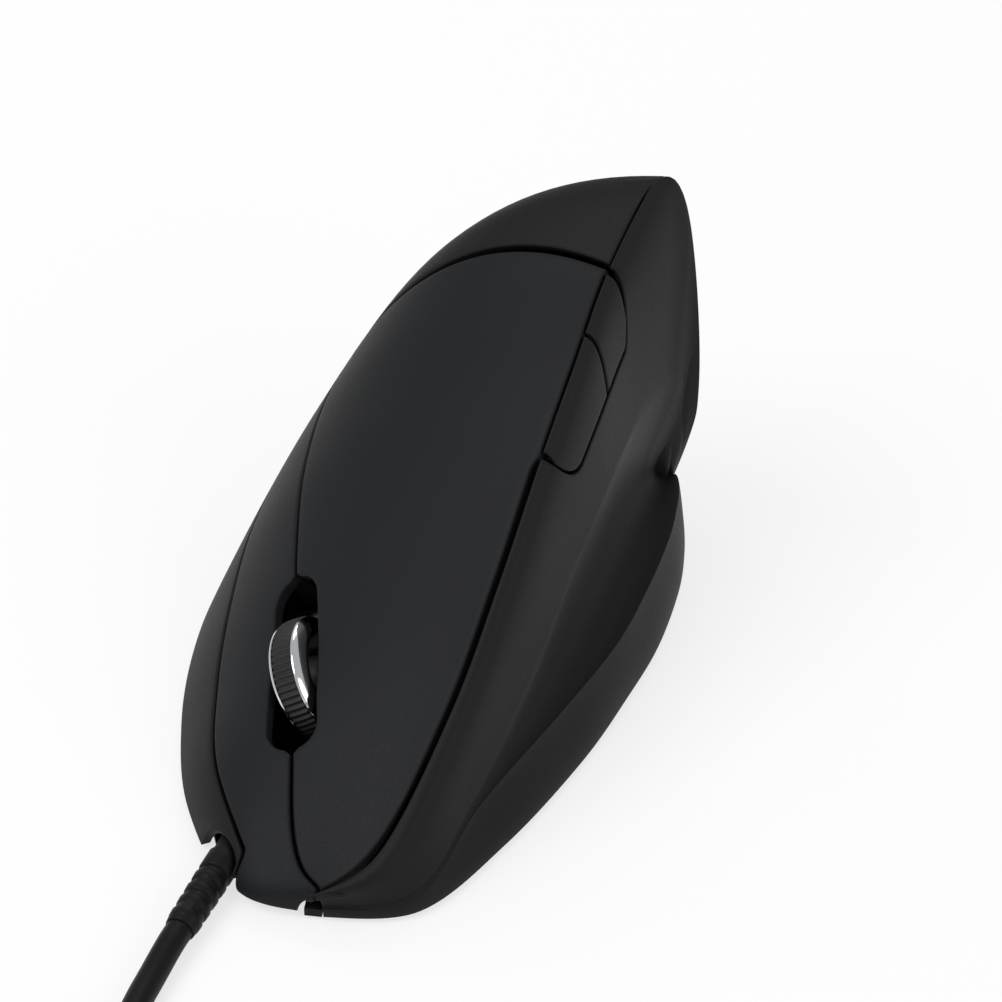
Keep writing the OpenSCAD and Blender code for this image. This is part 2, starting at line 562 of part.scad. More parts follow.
// Arch in the strip's lower edge for the cable's relief
arch_station = 1.31;
arch_half = 0.295;
arch_share = 0.205;
arch_turns = [0, 15, 30, 45, 60, 75];
function arch_low(t) =
  abs(t - arch_station) >= arch_half ? 0 : arch_share * sqrt(1 - pow((t - arch_station) / arch_half, 2));
strip_stations = concat([for (turn = arch_turns)
    if (arch_station - arch_half * cos(turn) > strip_start) arch_station - arch_half * cos(turn)],
  [arch_station], [for (i = [5:-1:0]) arch_station + arch_half * cos(arch_turns[i])],
  [1.6, 1.75, 1.88, 2, 2.25, 2.5, 2.75, 3, 3.3, 3.6, 3.9, 4.2, 4.5, 4.8, 5.1, 5.4, 5.7, 6, 6.25]);
palm_stations = [0.12, 0.28, 0.45, 0.62, 0.78, 0.92, 1.08, 1.25, 1.42, 1.6, 1.8,
  2.05, 2.3, 2.6, 2.9, 3.2, 3.5, 3.8, 4.1, 4.3, 4.45];
strip_columns = [0, 0.22, 0.48, 0.75, 1];
palm_columns = [0.1, 0.22, 0.34, 0.46, 0.57, 0.67, 0.76, 0.84, 0.9, 0.95, 0.98, 1];
function strip_high(t) = finger_share(t) - deck_step(finger_share(t), t, strip_gap / 2);
function palm_share(t, k) =
  k < len(strip_columns) ? mix(arch_low(t), strip_high(t), strip_columns[k])
  : mix(strip_high(t), 1 - deck_step(0.98, t, thin_gap / 2), palm_columns[k - len(strip_columns)]);
palm_width = len(strip_columns) + len(palm_columns);
module palm_shell() {
  shares = [for (k = [0:palm_width - 1]) palm_share(6.3, k)];
  edge = [for (s = shares) rear_edge(s, rear_gap / 2)];
  pairs = concat(
    [for (t = strip_stations) [for (k = [0:palm_width - 1]) deck_pair(palm_share(t, k), t)]],
    [[for (k = [0:palm_width - 1]) deck_pair(palm_share(edge[k], k), edge[k])]],
    [for (step = palm_stations) [for (k = [0:palm_width - 1])
      let (t = mix(edge[k], last_station - 0.05, step / palm_stations[len(palm_stations) - 1]))
      deck_pair(palm_share(t, k), t)]]);
  keep = [for (i = [0:len(pairs) - 2]) [for (j = [0:palm_width - 2])
    i >= len(strip_stations) || j < len(strip_columns) - 1]];
  color("#262627") plate(pairs, keep);
}

// Thumb shell with the window for the thumb buttons
window_depth = 0.62;
window_front = 0.55;
window_back = 0.2;
function window_low(t) =
  t <= window_start || t >= window_end ? 0
  : t < window_start + window_front
    ? window_depth * sqrt(1 - pow((window_start + window_front - t) / window_front, 2))
  : t > window_end - window_back
    ? window_depth * sqrt(1 - pow((t - window_end + window_back) / window_back, 2))
  : window_depth;
function thumb_step(u, t, distance) =
  let (ribs = thumb_ribs(t, 0))
  distance * 0.02 / norm(thumb_from(ribs, u + 0.01) - thumb_from(ribs, max(u - 0.01, 0)));
window_turns = [0, 15, 30, 45, 60, 75, 90];
thumb_stations = concat([nose_station, 0.2, 0.3, 0.42, 0.56, 0.75, 1, 1.3],
  [1.6, 1.9, 2.2, 2.5, 2.8, 3.1, 3.4, 3.7, 3.9],
  [for (turn = window_turns) window_start + window_front * (1 - cos(turn))], [4.8, 5.1, 5.4, 5.65],
  [for (turn = window_turns) window_end - window_back * (1 - sin(turn))],
  [6.2, 6.4, 6.6, 6.8, 7, 7.2, 7.4, 7.6, 7.8, 8, 8.25, 8.5, 8.75, 9, 9.3, 9.6, 9.9, 10.2, 10.5, 10.8, 10.95]);
band_columns = [0, 0.06, 0.14, 0.25, 0.4, 0.6, 0.8];
scoop_columns = [1, 1.12, 1.25, 1.4, 1.55, 1.7, 1.84, 1.94];
skirt_columns = [2, 2.15, 2.4, 2.7, 3];
module thumb_shell() {
  pairs = [for (t = thumb_stations)
    let (outer = thumb_ribs(t, 0), inner = thumb_ribs(t, wall_at(t)), top = window_low(t))
    let (columns = concat([for (f = band_columns) mix(top, 1, f)], scoop_columns, skirt_columns))
    [for (u = columns) [thumb_from(outer, u), thumb_from(inner, u)]]];
  color("#262627") plate(pairs, all_kept(pairs));
}
cap_columns = [0, 0.07, 0.15, 0.26, 0.4, 0.6, 0.8, 1];
thumb_split = 5.32;
side_room = thumb_gap / station_mm;
module thumb_cap(from, to, steps) {
  stops = [for (i = [0:steps]) mix(from, to, i / steps)];
  pairs = [for (t = stops)
    let (outer = thumb_ribs(t, 0), inner = thumb_ribs(t, shell_wall))
    let (low = window_low(t) - thumb_step(max(window_low(t), 0.2), t, thumb_gap))
    [for (f = cap_columns) [thumb_from(outer, low * f), thumb_from(inner, low * f)]]];
  color("#262627") plate(pairs, all_kept(pairs));
}
module forward_button() thumb_cap(window_start + 0.06, thumb_split - side_room / 2, 14);
module back_button() thumb_cap(thumb_split + side_room / 2, window_end - 0.075, 10);

// Thumb buttons' hinge, board and switches
module side_lug(y0, y1) {
  rod_y(sleeve_r, y0, y1, [side_pin_x, side_pin_z]);
  box([side_plate_x - 0.5, y0, side_pin_z - sleeve_r], [side_pin_x, y1, side_pin_z]);
}
module side_bracket() {
  color("#2a2a2c") difference() {
    union() {
      side() {
        box([side_plate_x - side_plate_thick, -14, -16], [side_plate_x, 14, side_pin_z - 0.4]);
        side_lug(-14, -12.2);
        side_lug(-0.8, 0.8);
        side_lug(12.2, 14);
      }
      difference() {
        for (q = side_feet) rod_z(post_r, base_top, q.z + 3, q);
        side() translate([side_plate_x, -60, -90]) cube([60, 120, 120]);
      }
    }
    side() rod_y(side_pin_r + 0.02, -15, 15, [side_pin_x, side_pin_z]);
    for (p = side_posts) rod_z(screw_r + 0.05, base_top - 1, base_top + 6, p);
  }
}
module side_pin() color("#b8b8bc") side() rod_y(side_pin_r, -14, 14, [side_pin_x, side_pin_z]);
module side_board() {
  color("#1f5a3a") side() box([side_plate_x, -13.5, -15.6], [side_plate_x + board_thick, 13.5, -6.2]);
}
side_switch_x = side_plate_x + board_thick;
module side_switch(at) {
  color("#202024") side() difference() {
    box([side_switch_x, at.y - 3, at.z - 3], [side_switch_x + side_switch_height, at.y + 3, at.z + 3]);
    rod_x(1.4, side_switch_x + side_switch_height - 1.4, side_switch_x + side_switch_height + 1,
      [at.y, at.z]);
  }
}
module side_plunger(at) {
  color("#c8c8c8") side()
    rod_x(1.2, side_switch_x + side_switch_height - 0.8, at.x - press_gap - 0.25, [at.y, at.z]);
}
module forward_switch() side_switch(forward_spot);
module back_switch() side_switch(back_spot);
module forward_plunger() side_plunger(forward_spot);
module back_plunger() side_plunger(back_spot);
module sleeve(y0, y1) {
  color("#303034") side() difference() {
    rod_y(sleeve_r, y0, y1, [side_pin_x, side_pin_z]);
    rod_y(side_pin_r + turn_gap, y0 - 1, y1 + 1, [side_pin_x, side_pin_z]);
  }
}
module forward_sleeve() sleeve(-10.5, -2.5);
module back_sleeve() sleeve(4.8, 11.4);

// Scroll wheel, its fork and the encoder
module fork_arm(a0, a1) {
  fork_turn = atan2(fork_c, fork_b);
  rod_x(axle_r + 1.2, a0, a1);
  rod_x(pin_r + 1, a0, a1, [fork_b, fork_c]);
  translate([a0, 0, 0]) rotate([fork_turn, 0, 0]) translate([0, 0, -1.9])
    cube([a1 - a0, norm([fork_b, fork_c]), 3.8]);
}
module wheel_fork() {
  color("#303034") deck() difference() {
    union() {
      fork_arm(fork_in, fork_out);
      fork_arm(-fork_out, -fork_in);
      box([-fork_out, 10.9, -7.6], [fork_out, 12.1, -4.4]);
      box([fork_out - 0.4, middle_b - 1.4, foot_under], [middle_a + 2.2, middle_b + 1.4, foot_under + 2]);
    }
    rod_x(axle_r + turn_gap, -fork_out - 1, fork_out + 1);
    rod_x(pin_r + turn_gap, -fork_out - 1, fork_out + 1, [fork_b, fork_c]);
  }
}
module fork_spring() {
  color("#b8b8bc") deck() difference() {
    rod_x(pin_r + 0.7, -fork_in + 0.3, fork_in - 0.3, [fork_b, fork_c]);
    rod_x(pin_r + 0.2, -fork_in - 1, fork_in + 1, [fork_b, fork_c]);
  }
}
encoder_from = fork_out;
encoder_to = fork_out + 3.4;
rotor_r = axle_r + 0.45;
module encoder() {
  color("#39393c") deck() difference() {
    box([encoder_from, -4.2, -6.4], [encoder_to, 4.2, rotor_r + 0.25]);
    rod_x(rotor_r + 0.1, encoder_from - 1, encoder_to + 1);
  }
}
module encoder_rotor() {
  color("#d8d8d0") deck() difference() {
    rod_x(rotor_r, encoder_from + 0.2, encoder_to - 0.2);
    rod_x(axle_r, encoder_from - 1, encoder_to + 1);
  }
}
module wheel_axle() color("#b8b8bc") deck() rod_x(axle_r, -fork_out - 0.2, encoder_to + 0.4);
hub_r = wheel_r - 2.8;
module wheel_hub() {
  color("#202022") deck() difference() {
    union() {
      rod_x(hub_r, -tyre_width / 2, tyre_width / 2);
      rod_x(axle_r + 1.4, -fork_in + 0.3, fork_in - 0.3);
    }
    rod_x(axle_r, -fork_in - 1, fork_in + 1);
  }
}
rib_count = 56;
module scroll_tyre() {
  color("#18181a") deck() rotate([0, 90, 0]) translate([0, 0, -tyre_width / 2]) linear_extrude(tyre_width)
    difference() {
      polygon([for (i = [0:rib_count * 2 - 1])
        let (r = wheel_r - (i % 2) * 0.35, angle = 180 * i / rib_count) [r * cos(angle), r * sin(angle)]]);
      circle(r = hub_r);
    }
}
module wheel_ring(turn) {
  inner = tyre_width / 2;
  outer = inner + ring_width;
  color("#c9ccd0") deck() rotate([0, turn, 0]) rotate_extrude() polygon([[axle_r + 1.4, inner],
    [wheel_r - 0.3, inner], [wheel_r - 0.3, inner + 0.3], [wheel_r - 1.1, mix(inner, outer, 0.7)],
    [wheel_r - 2.2, outer], [wheel_r - 3, outer],
    [axle_r + 1.4, inner + 0.6]]);
}
module wheel_ring_left() wheel_ring(-90);
module wheel_ring_right() wheel_ring(90);

// Main board and what it carries
module main_board() {
  color("#1f5a3a") difference() {
    translate([main_corner.x, main_corner.y, main_low]) cube([main_size.x, main_size.y, board_thick]);
    for (p = case_posts) rod_z(post_r + 0.5, main_low - 1, main_top + 1, p);
    for (p = board_bosses) rod_z(screw_r + 0.2, main_low - 1, main_top + 1, p);
    rod_z(1.6, main_low - 1, main_top + 1, sensor_spot);
  }
}
module board_screws() {
  color("#8c8c90") for (p = board_bosses) {
    rod_z(screw_r, base_low + 0.6, main_top + 0.2, p);
    rod_z(head_r, main_top, main_top + head_thick, p);
  }
}
module optical_sensor() {
  color("#1a1a1c") translate([sensor_spot.x - 5, sensor_spot.y - 6, main_top]) cube([10, 12, 2.6]);
}
module sensor_lens() {
  color("#d0d8dc") {
    translate([sensor_spot.x - 5.8, sensor_spot.y - 4.3, base_low + 0.4])
      cube([11.6, 8.6, main_low - base_low - 0.4]);
    translate([sensor_spot.x - 7.4, sensor_spot.y - 4.3, base_top]) cube([14.8, 8.6, 0.8]);
  }
}
lamp_spot = sensor_spot + [0, 10];
module led_lamp() {
  color("#c04038") {
    rod_z(1.6, main_top, main_top + 3.4, lamp_spot);
    translate([lamp_spot.x, lamp_spot.y, main_top + 3.4]) sphere(r = 1.6);
  }
}
module controller_chip() {
  color("#1a1a1c") translate([sensor_spot.x - 9.5, sensor_spot.y + 6.9, main_top]) cube([7, 5, 1.2]);
}
module cable_socket() {
  color("#e4e0d4") translate([socket_spot.x - 4, socket_spot.y, main_top]) difference() {
    cube([8, 4, 3]);
    translate([1, -1, 0.6]) cube([6, 3, 1.8]);
  }
}

// Cable from the socket to the plug
module cable_tail() color("#151516") tube(smooth(tail_route, 3), tail_r, 8);
saddle_stations = [for (t = [1.12:0.14:1.82]) t];
gland_top = 4.5;
tail_r = 0.85;
function band(list, inset, depth) = concat([for (t = list) finger_line(t, inset)],
  [for (i = [len(list) - 1:-1:0]) finger_line(list[i], depth)]);
module cable_gland() {
  color("#1c1c1e") difference() {
    translate([0, 0, base_top]) linear_extrude(gland_top - base_top) polygon(band(saddle_stations, 4.5, 9.4));
    along(cable_exit - (relief_in + 8) * cable_way, cable_way) cylinder(r = relief_r + 0.35, h = 40);
  }
}
relief_step = relief_out / 5;
module strain_relief() {
  color("#151516") along(cable_exit - relief_in * cable_way, cable_way) difference() {
    union() {
      translate([0, 0, relief_in - 2]) cylinder(r = relief_r, h = 3.4);
      cylinder(r = relief_r + 0.2, h = 1.6);
      cylinder(r = cable_r + 0.25, h = relief_in + relief_out);
      for (i = [0:3]) translate([0, 0, relief_in + 2.4 + i * relief_step])
        cylinder(r1 = relief_r - 0.02 * i, r2 = relief_r - 0.1 - 0.02 * i, h = relief_step - 0.9);
    }
    translate([0, 0, relief_in + relief_out - 2.2]) cylinder(r = cable_r + 0.05, h = 4);
    translate([0, 0, -1]) cylinder(r = 1, h = 2.2);
  }
}
module cable() color("#151516") tube(concat(smooth(route, 3), [coil_start + [0, cable_d, 0]]), cable_r, 8);
module cable_coil() {
  count = len(coil_path);
  least = min([for (i = [0:2:count - 1]) min([for (j = [i + 12:1:max(count - 1, i + 12)])
    j < count ? norm(coil_path[i] - coil_path[j]) : 1000])]);
  echo(coil_gap = least - cable_d, coil_bend = coil_radius - coil_pitch * (coil_turns + 0.25));
  color("#151516") tube(coil_path, cable_r, 6);
}
tie_thick = 0.7;
module cable_tie() {
  x0 = coil_middle.x + coil_radius - coil_pitch * (coil_turns + 0.25) - cable_r - 0.9;
  x1 = coil_middle.x + coil_radius + cable_r + 0.6;
  top = coil_low + coil_rise + cable_r + 0.3;
  color("#2a2a2c") difference() {
    box([x0 - tie_thick, coil_middle.y - 2.5, 0.05], [x1 + tie_thick, coil_middle.y + 2.5, top + tie_thick]);
    box([x0, coil_middle.y - 3, 0.05 + tie_thick], [x1, coil_middle.y + 3, top]);
  }
}
module plug_lead() {
  lead = concat([coil_end + coil_way * cable_d], smooth(lead_route, 3), [grip_root + [2, 0, 0]]);
  color("#151516") tube(lead, cable_r, 8);
}
module plug_grip() {
  corner = 2.2;
  color("#1c1c1e") translate(grip_root) difference() {
    union() {
      rotate([90, 0, 90]) linear_extrude(grip_length) {
        square([grip_width - 2 * corner, grip_thick], center = true);
        square([grip_width, grip_thick - 2 * corner], center = true);
        for (x = [-1, 1]) for (y = [-1, 1])
          translate([x * (grip_width / 2 - corner), y * (grip_thick / 2 - corner)]) circle(r = corner);
      }
      rod_x(cable_r + 1, -3, 1);
    }
    rod_x(cable_r + 0.1, -4, 3);
    box([grip_length - 2.05, -6.05, -2.3], [grip_length + 1, 6.05, 2.3]);
  }
}
module plug_shell() {
  color("#c9ccd0") translate(grip_root + [grip_length - 2, 0, 0]) difference() {
    box([0, -6, -2.25], [plug_out + 2, 6, 2.25]);
    box([-1, -5.6, -1.85], [plug_out + 3, 5.6, 1.85]);
    for (y = [-2.6, 2.6]) box([7, y - 1.1, 1], [9.2, y + 1.1, 3]);
  }
}
module plug_tongue() {
  color("#e4e0d4") translate(grip_root + [grip_length - 2, 0, 0])
    box([0, -5.5, -0.1], [plug_out + 1.2, 5.5, 1.8]);
}

base_plate();
foot_front();
foot_finger_side();
foot_thumb_side();
case_screws();
inner_frame();
hinge_pin();
button_board();
left_switch();
right_switch();
middle_switch();
left_plunger();
right_plunger();
middle_plunger();
left_lever();
right_lever();
left_button();
right_button();
palm_shell();
thumb_shell();
wheel_fork();
fork_pin();
fork_spring();
encoder();
encoder_rotor();
wheel_axle();
wheel_hub();
scroll_tyre();
wheel_ring_left();
wheel_ring_right();
side_bracket();
side_pin();
side_board();
forward_switch();
back_switch();
forward_plunger();
back_plunger();
forward_sleeve();
back_sleeve();
forward_button();
back_button();
main_board();
board_screws();
optical_sensor();
sensor_lens();
led_lamp();
controller_chip();
cable_socket();
cable_tail();
cable_gland();
strain_relief();
cable();
cable_coil();
cable_tie();
plug_lead();
plug_grip();
plug_shell();
plug_tongue();
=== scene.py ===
# %% [markdown]
# # A wired vertical mouse
# The CAD model already holds every piece of this mouse in its right place, from the click switches to the
# coil of cable. This lesson dresses it: finer skins for the caps and shells, a ribbed wheel with plated
# rings, a round cable, and finishes that look like the real plastics and metals. Lengths are in millimetres
# until a mesh is made, because that is how a maker thinks about an object of this size.

# %% Load the frame
import math

import bpy
import numpy as np
from mathutils import Matrix


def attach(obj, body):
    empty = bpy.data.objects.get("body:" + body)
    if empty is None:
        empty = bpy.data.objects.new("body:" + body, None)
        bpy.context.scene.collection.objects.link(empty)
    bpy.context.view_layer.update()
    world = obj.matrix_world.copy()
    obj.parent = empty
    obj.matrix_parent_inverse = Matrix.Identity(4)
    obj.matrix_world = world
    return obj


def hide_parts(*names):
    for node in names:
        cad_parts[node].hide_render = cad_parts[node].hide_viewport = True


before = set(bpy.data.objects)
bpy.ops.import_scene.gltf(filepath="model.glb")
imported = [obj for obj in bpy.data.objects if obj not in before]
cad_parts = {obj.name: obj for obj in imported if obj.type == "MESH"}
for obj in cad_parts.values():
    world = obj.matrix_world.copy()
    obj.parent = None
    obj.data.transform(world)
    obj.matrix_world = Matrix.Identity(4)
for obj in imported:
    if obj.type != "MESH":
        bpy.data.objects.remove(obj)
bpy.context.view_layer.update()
MM = 0.001
UP = np.array([0.0, 0.0, 1.0])

# %% [markdown]
# ## Camera
# The photograph looks down on the nose from the front, a little from the thumb side, with a long lens. A
# camera can be aimed with a constraint, but here its place is worked out from one known point, the front of
# the thumb buttons on the ridge, and from the pixel where that point lies. That fixes the framing without
# any trial.

# %% Camera
DRAWN_MIDDLE = np.array([3.28, 51.76, 0.0])
RIM_LIFT = 0.8
IMAGE_SIZE = 1002
FOCAL_PIXELS = 3640
SENSOR_MM = 36.0
CAMERA_DISTANCE = 520.0
AIM_DRAWN = np.array([20.3, 50.5, 46.0])
AIM_PIXEL = (540, 460)
azimuth = math.radians(8)
elevation = math.radians(40)


def unit(v):
    return v / np.linalg.norm(v, axis=-1, keepdims=True)


backward = np.array([math.sin(azimuth) * math.cos(elevation), -math.cos(azimuth) * math.cos(elevation),
                     math.sin(elevation)])
rightward = np.array([math.cos(azimuth), math.sin(azimuth), 0.0])
upward = np.cross(backward, rightward)
off_right = (AIM_PIXEL[0] - IMAGE_SIZE / 2) / FOCAL_PIXELS
off_down = (AIM_PIXEL[1] - IMAGE_SIZE / 2) / FOCAL_PIXELS
eye = AIM_DRAWN - DRAWN_MIDDLE + CAMERA_DISTANCE * (backward - off_right * rightward + off_down * upward)
camera_data = bpy.data.cameras.new("photo_camera")
camera_data.sensor_width = SENSOR_MM
camera_data.lens = SENSOR_MM * FOCAL_PIXELS / IMAGE_SIZE
camera = bpy.data.objects.new("photo_camera", camera_data)
bpy.context.scene.collection.objects.link(camera)
camera.matrix_world = Matrix([[rightward[k], upward[k], backward[k], eye[k] * MM] for k in range(3)]
                             + [[0.0, 0.0, 0.0, 1.0]])
bpy.context.scene.camera = camera
print("camera at", np.round(eye, 1), "mm, lens", round(camera_data.lens, 1), "mm")

# %% [markdown]
# ## Body lines
# A vertical mouse has no flat faces, so its form is held by a few long lines from the nose to the heel: the
# ridge, the edge under the fingers, the crease over the thumb, the ledge under it and the thumb edge. The
# same rows of points shape the CAD solids. Smooth curves through them give every later piece its
# place.

# %% Body lines
STATIONS = [
    [[-5.5, 0.2, 4], [-6.6, 0, 0], [-5, 0.1, 2.6], [-4.8, 0, 1.6], [-4.6, 0, 0], [40, 86, 0.36]],
    [[3.7, 5, 9.2], [-17, 2.4, 0], [9, 3.6, 3.4], [9.4, 3.2, 2.4], [9.6, 3, 0], [31, 84, 0.36]],
    [[11.5, 21, 22], [-27, 19, 0], [15.4, 17.5, 8.6], [16.2, 17.8, 7.4], [20, 18, 0], [30, 72, 0.36]],
    [[16.3, 36, 34], [-31.5, 36, 0], [21.8, 35, 17.8], [25.4, 36.5, 9.2], [28.8, 36.5, 0], [30, 63, 0.36]],
    [[20.3, 50.5, 45.5], [-33, 52, 0], [25.8, 50, 25.8], [31.8, 51, 10.2], [33.8, 51, 0], [26, 65, 0.37]],
    [[23.6, 62, 54], [-32, 67, 0], [29, 62, 31.2], [35, 63, 10.7], [37.2, 63, 0], [19, 70, 0.39]],
    [[26.8, 75, 61.5], [-28, 82, 0], [32, 75, 34.4], [37.2, 76, 10.7], [39, 76, 0], [13, 73, 0.42]],
    [[32, 85, 69.8], [-19, 94.5, 0], [35, 84.5, 33.4], [37.6, 85, 10.2], [39, 85, 0], [11, 78, 0.42]],
    [[35.2, 88.6, 67], [-6, 101.5, 0], [37, 88.6, 31.2], [37.4, 89.6, 9.7], [38.2, 90, 0], [14, 82, 0.39]],
    [[37.6, 90.5, 44.4], [10, 104, 0], [37.4, 91, 27.2], [36.8, 93, 9.2], [37, 93.5, 0], [24, 78, 0.36]],
    [[38, 92, 21.4], [24, 102.6, 0], [37.2, 93, 15.2], [35.8, 95.4, 7.4], [35.6, 96.2, 0], [24, 78, 0.36]],
    [[35, 96, 4], [32.6, 98.6, 0], [34.8, 96.6, 2.8], [34.2, 97.4, 1.8], [33.6, 97.9, 0], [24, 78, 0.36]],
]
LAST_STATION = len(STATIONS) - 1.0
TAIL_STATION = LAST_STATION - 0.05
LIFT = np.array([0.0, 0.0, RIM_LIFT])
ridge, finger_edge, crease, ledge, thumb_edge = (
    np.array([row[k] for row in STATIONS], float) - DRAWN_MIDDLE + LIFT for k in range(5))
slopes = np.array([row[5] for row in STATIONS], float)


def mix(a, b, f):
    return a + (b - a) * f


def spline(knots, t):
    """A smooth curve through the knots, at t counted in knots."""
    t = np.asarray(t, float)
    last = len(knots) - 1
    i = np.clip(np.floor(t).astype(int), 0, last - 1)
    f = (t - i)[..., None]
    p, q = knots[i], knots[i + 1]
    m = (q - knots[np.maximum(i - 1, 0)]) / 2
    k = (knots[np.minimum(i + 2, last)] - p) / 2
    return (p * (2 * f**3 - 3 * f**2 + 1) + m * (f**3 - 2 * f**2 + f)
            + q * (3 * f**2 - 2 * f**3) + k * (f**3 - f**2))


def bezier(c, s):
    s = np.asarray(s, float)[..., None]
    r = 1 - s
    return c[0] * r**3 + c[1] * 3 * r**2 * s + c[2] * 3 * r * s**2 + c[3] * s**3


def ease(x):
    f = np.clip(x, 0, 1)
    return f * f * (3 - 2 * f)


print("stations", len(STATIONS), "from", ridge[0], "to the heel", finger_edge[-2])

# %% [markdown]
# ## Cable
# The cable leaves the nose through a notched relief, drops to the desk and runs out of the picture. The
# rest of its length is wound into a flat coil just past the picture's edge, with the plug beside it. A
# curve with a round bevel is the natural way to make it: one line gives the whole length, and Blender keeps
# it round. The bevel is one metre deep and each point's own radius scales it down, so that the curve's box
# fits the cable.

# %% Cable route
CABLE_RADIUS = 2.0
COIL_RADIUS = 33.5
COIL_PITCH = 4.6
COIL_TURNS = 4.875
COIL_LOW = CABLE_RADIUS + 1.1
CABLE_FLOOR = CABLE_RADIUS + 0.06
RELIEF_OUT = 12.5
RELIEF_IN = 8.5


def drawn(x, y, z):
    return np.array([x, y, z], float) - DRAWN_MIDDLE


cable_exit = drawn(-19.58, 5.4, 2.8)
cable_way = unit(np.array([-0.248, -0.969, -0.014]))
relief_end = cable_exit + RELIEF_OUT * cable_way
coil_middle = drawn(-27.5 + COIL_RADIUS, -74, 0)
coil_start = coil_middle + np.array([-COIL_RADIUS, 0, COIL_LOW])
route = np.array([
    relief_end - 2 * cable_way, relief_end, relief_end + 3.2 * cable_way,
    drawn(-24.7, -15, CABLE_FLOOR), drawn(-25.9, -21.5, CABLE_FLOOR), drawn(-26.9, -31, CABLE_FLOOR),
    drawn(-27.5, -41, CABLE_FLOOR), [coil_start[0], coil_start[1] + 22, CABLE_FLOOR],
    [coil_start[0], coil_start[1] + 12, CABLE_FLOOR + 0.5], coil_start + [0, 2 * CABLE_RADIUS + 2.4, 0]])


def coil_point(turn):
    """The coil winds in, climbs a layer in half a turn, and winds out again."""
    half = COIL_TURNS + 0.25
    radius = COIL_RADIUS - COIL_PITCH * (half - abs(turn - half))
    angle = math.radians(180 + 360 * turn)
    height = COIL_LOW + COIL_PITCH * min(max((turn - COIL_TURNS) / 0.5, 0), 1)
    return coil_middle + np.array([radius * math.cos(angle), radius * math.sin(angle), height])


coil_full = 2 * COIL_TURNS + 0.4
coil_steps = round(coil_full * 36)
coil = np.array([coil_point(i * coil_full / coil_steps) for i in range(coil_steps + 1)])
coil_end = coil[-1]
coil_way = unit((coil_end - coil_point(coil_full - 0.01)) * [1, 1, 0])
GRIP_THICK = 8.0
grip_root = coil_middle + np.array([12.5, -COIL_RADIUS - 10.8, GRIP_THICK / 2 + 0.05])
lead = np.array([
    coil_end + 7 * coil_way, coil_end + 13 * coil_way - 0.3 * UP, coil_end + 19 * coil_way - 1.5 * UP,
    coil_end + 25 * coil_way - 2.8 * UP, grip_root - [6.6, -0.5, -0.15], grip_root - [3.4, 0, 0]])
free_run = spline(route, np.linspace(0, len(route) - 1, 37))
lead_run = spline(lead, np.linspace(0, len(lead) - 1, 21))
cable_points = np.concatenate([free_run, coil, lead_run, [grip_root + [2, 0, 0]]])
curve = bpy.data.curves.new("cable_jacket", "CURVE")
curve.dimensions = "3D"
curve.bevel_depth = 1.0
curve.bevel_resolution = 4
curve.use_fill_caps = True
line = curve.splines.new("POLY")
line.points.add(len(cable_points) - 1)
line.points.foreach_set("co", np.column_stack([cable_points * MM, np.ones(len(cable_points))]).ravel())
line.points.foreach_set("radius", np.full(len(cable_points), CABLE_RADIUS * MM))
line.use_smooth = True
cable_jacket = bpy.data.objects.new("cable_jacket", curve)
bpy.context.scene.collection.objects.link(cable_jacket)
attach(cable_jacket, "case")
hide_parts("cable", "cable_coil", "plug_lead")

# %% [markdown]
# ## Meshes from grids
# Every skin here is a grid of points on a curved face, with a second grid one wall deeper and a rim between
# them. A solidify modifier could add the wall, but the rim has to follow the CAD, so both grids are worked
# out. The outer edges are rounded by letting the points near an edge sink along a quarter circle, as a
# mould's edge does. That gives the thin bright lines along the seams.

# %% Grid helpers
def add_piece(name, points, faces, body, replaced, sharp=40.0):
    """A mesh piece from points in millimetres, riding on a body."""
    mesh = bpy.data.meshes.new(name)
    mesh.from_pydata((np.asarray(points) * MM).tolist(), [], faces)
    mesh.validate()
    mesh.polygons.foreach_set("use_smooth", np.ones(len(mesh.polygons), bool))
    mesh.set_sharp_from_angle(angle=math.radians(sharp))
    piece = bpy.data.objects.new(name, mesh)
    bpy.context.scene.collection.objects.link(piece)
    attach(piece, body)
    if replaced:
        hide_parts(*replaced)
    print(name, len(mesh.vertices), "points", len(mesh.polygons), "faces")
    return piece


def grid_faces(rows, columns, keep):
    """Quads of a closed plate: outer grid, inner grid and the rim round the cells that are kept."""
    inner = rows * columns
    faces = []
    rim = []
    padded = np.zeros((rows + 1, columns + 1), bool)
    padded[1:rows, 1:columns] = keep
    for i in range(rows - 1):
        for j in range(columns - 1):
            if not keep[i, j]:
                continue
            a = i * columns + j
            b, c, d = a + 1, a + columns + 1, a + columns
            faces += [(a, b, c, d), (a + inner, d + inner, c + inner, b + inner)]
            for p, q, there in ((a, b, padded[i, j + 1]), (b, c, padded[i + 1, j + 2]),
                                (c, d, padded[i + 2, j + 1]), (d, a, padded[i + 1, j])):
                if not there:
                    rim.append((p, q))
    faces += [(q, p, p + inner, q + inner) for p, q in rim]
    return faces, np.array(rim)


def edge_distance(points, starts, ends):
    """Distance of each point from the nearest of some line pieces."""
    along = ends - starts
    length = np.maximum((along**2).sum(1), 1e-12)
    nearest = np.full(len(points), 1e9)
    for first in range(0, len(points), 500):
        some = points[first:first + 500, None, :]
        share = np.clip(((some - starts) * along).sum(2) / length, 0, 1)
        gap = np.linalg.norm(some - starts - share[..., None] * along, axis=2)
        nearest[first:first + 500] = gap.min(1)
    return nearest


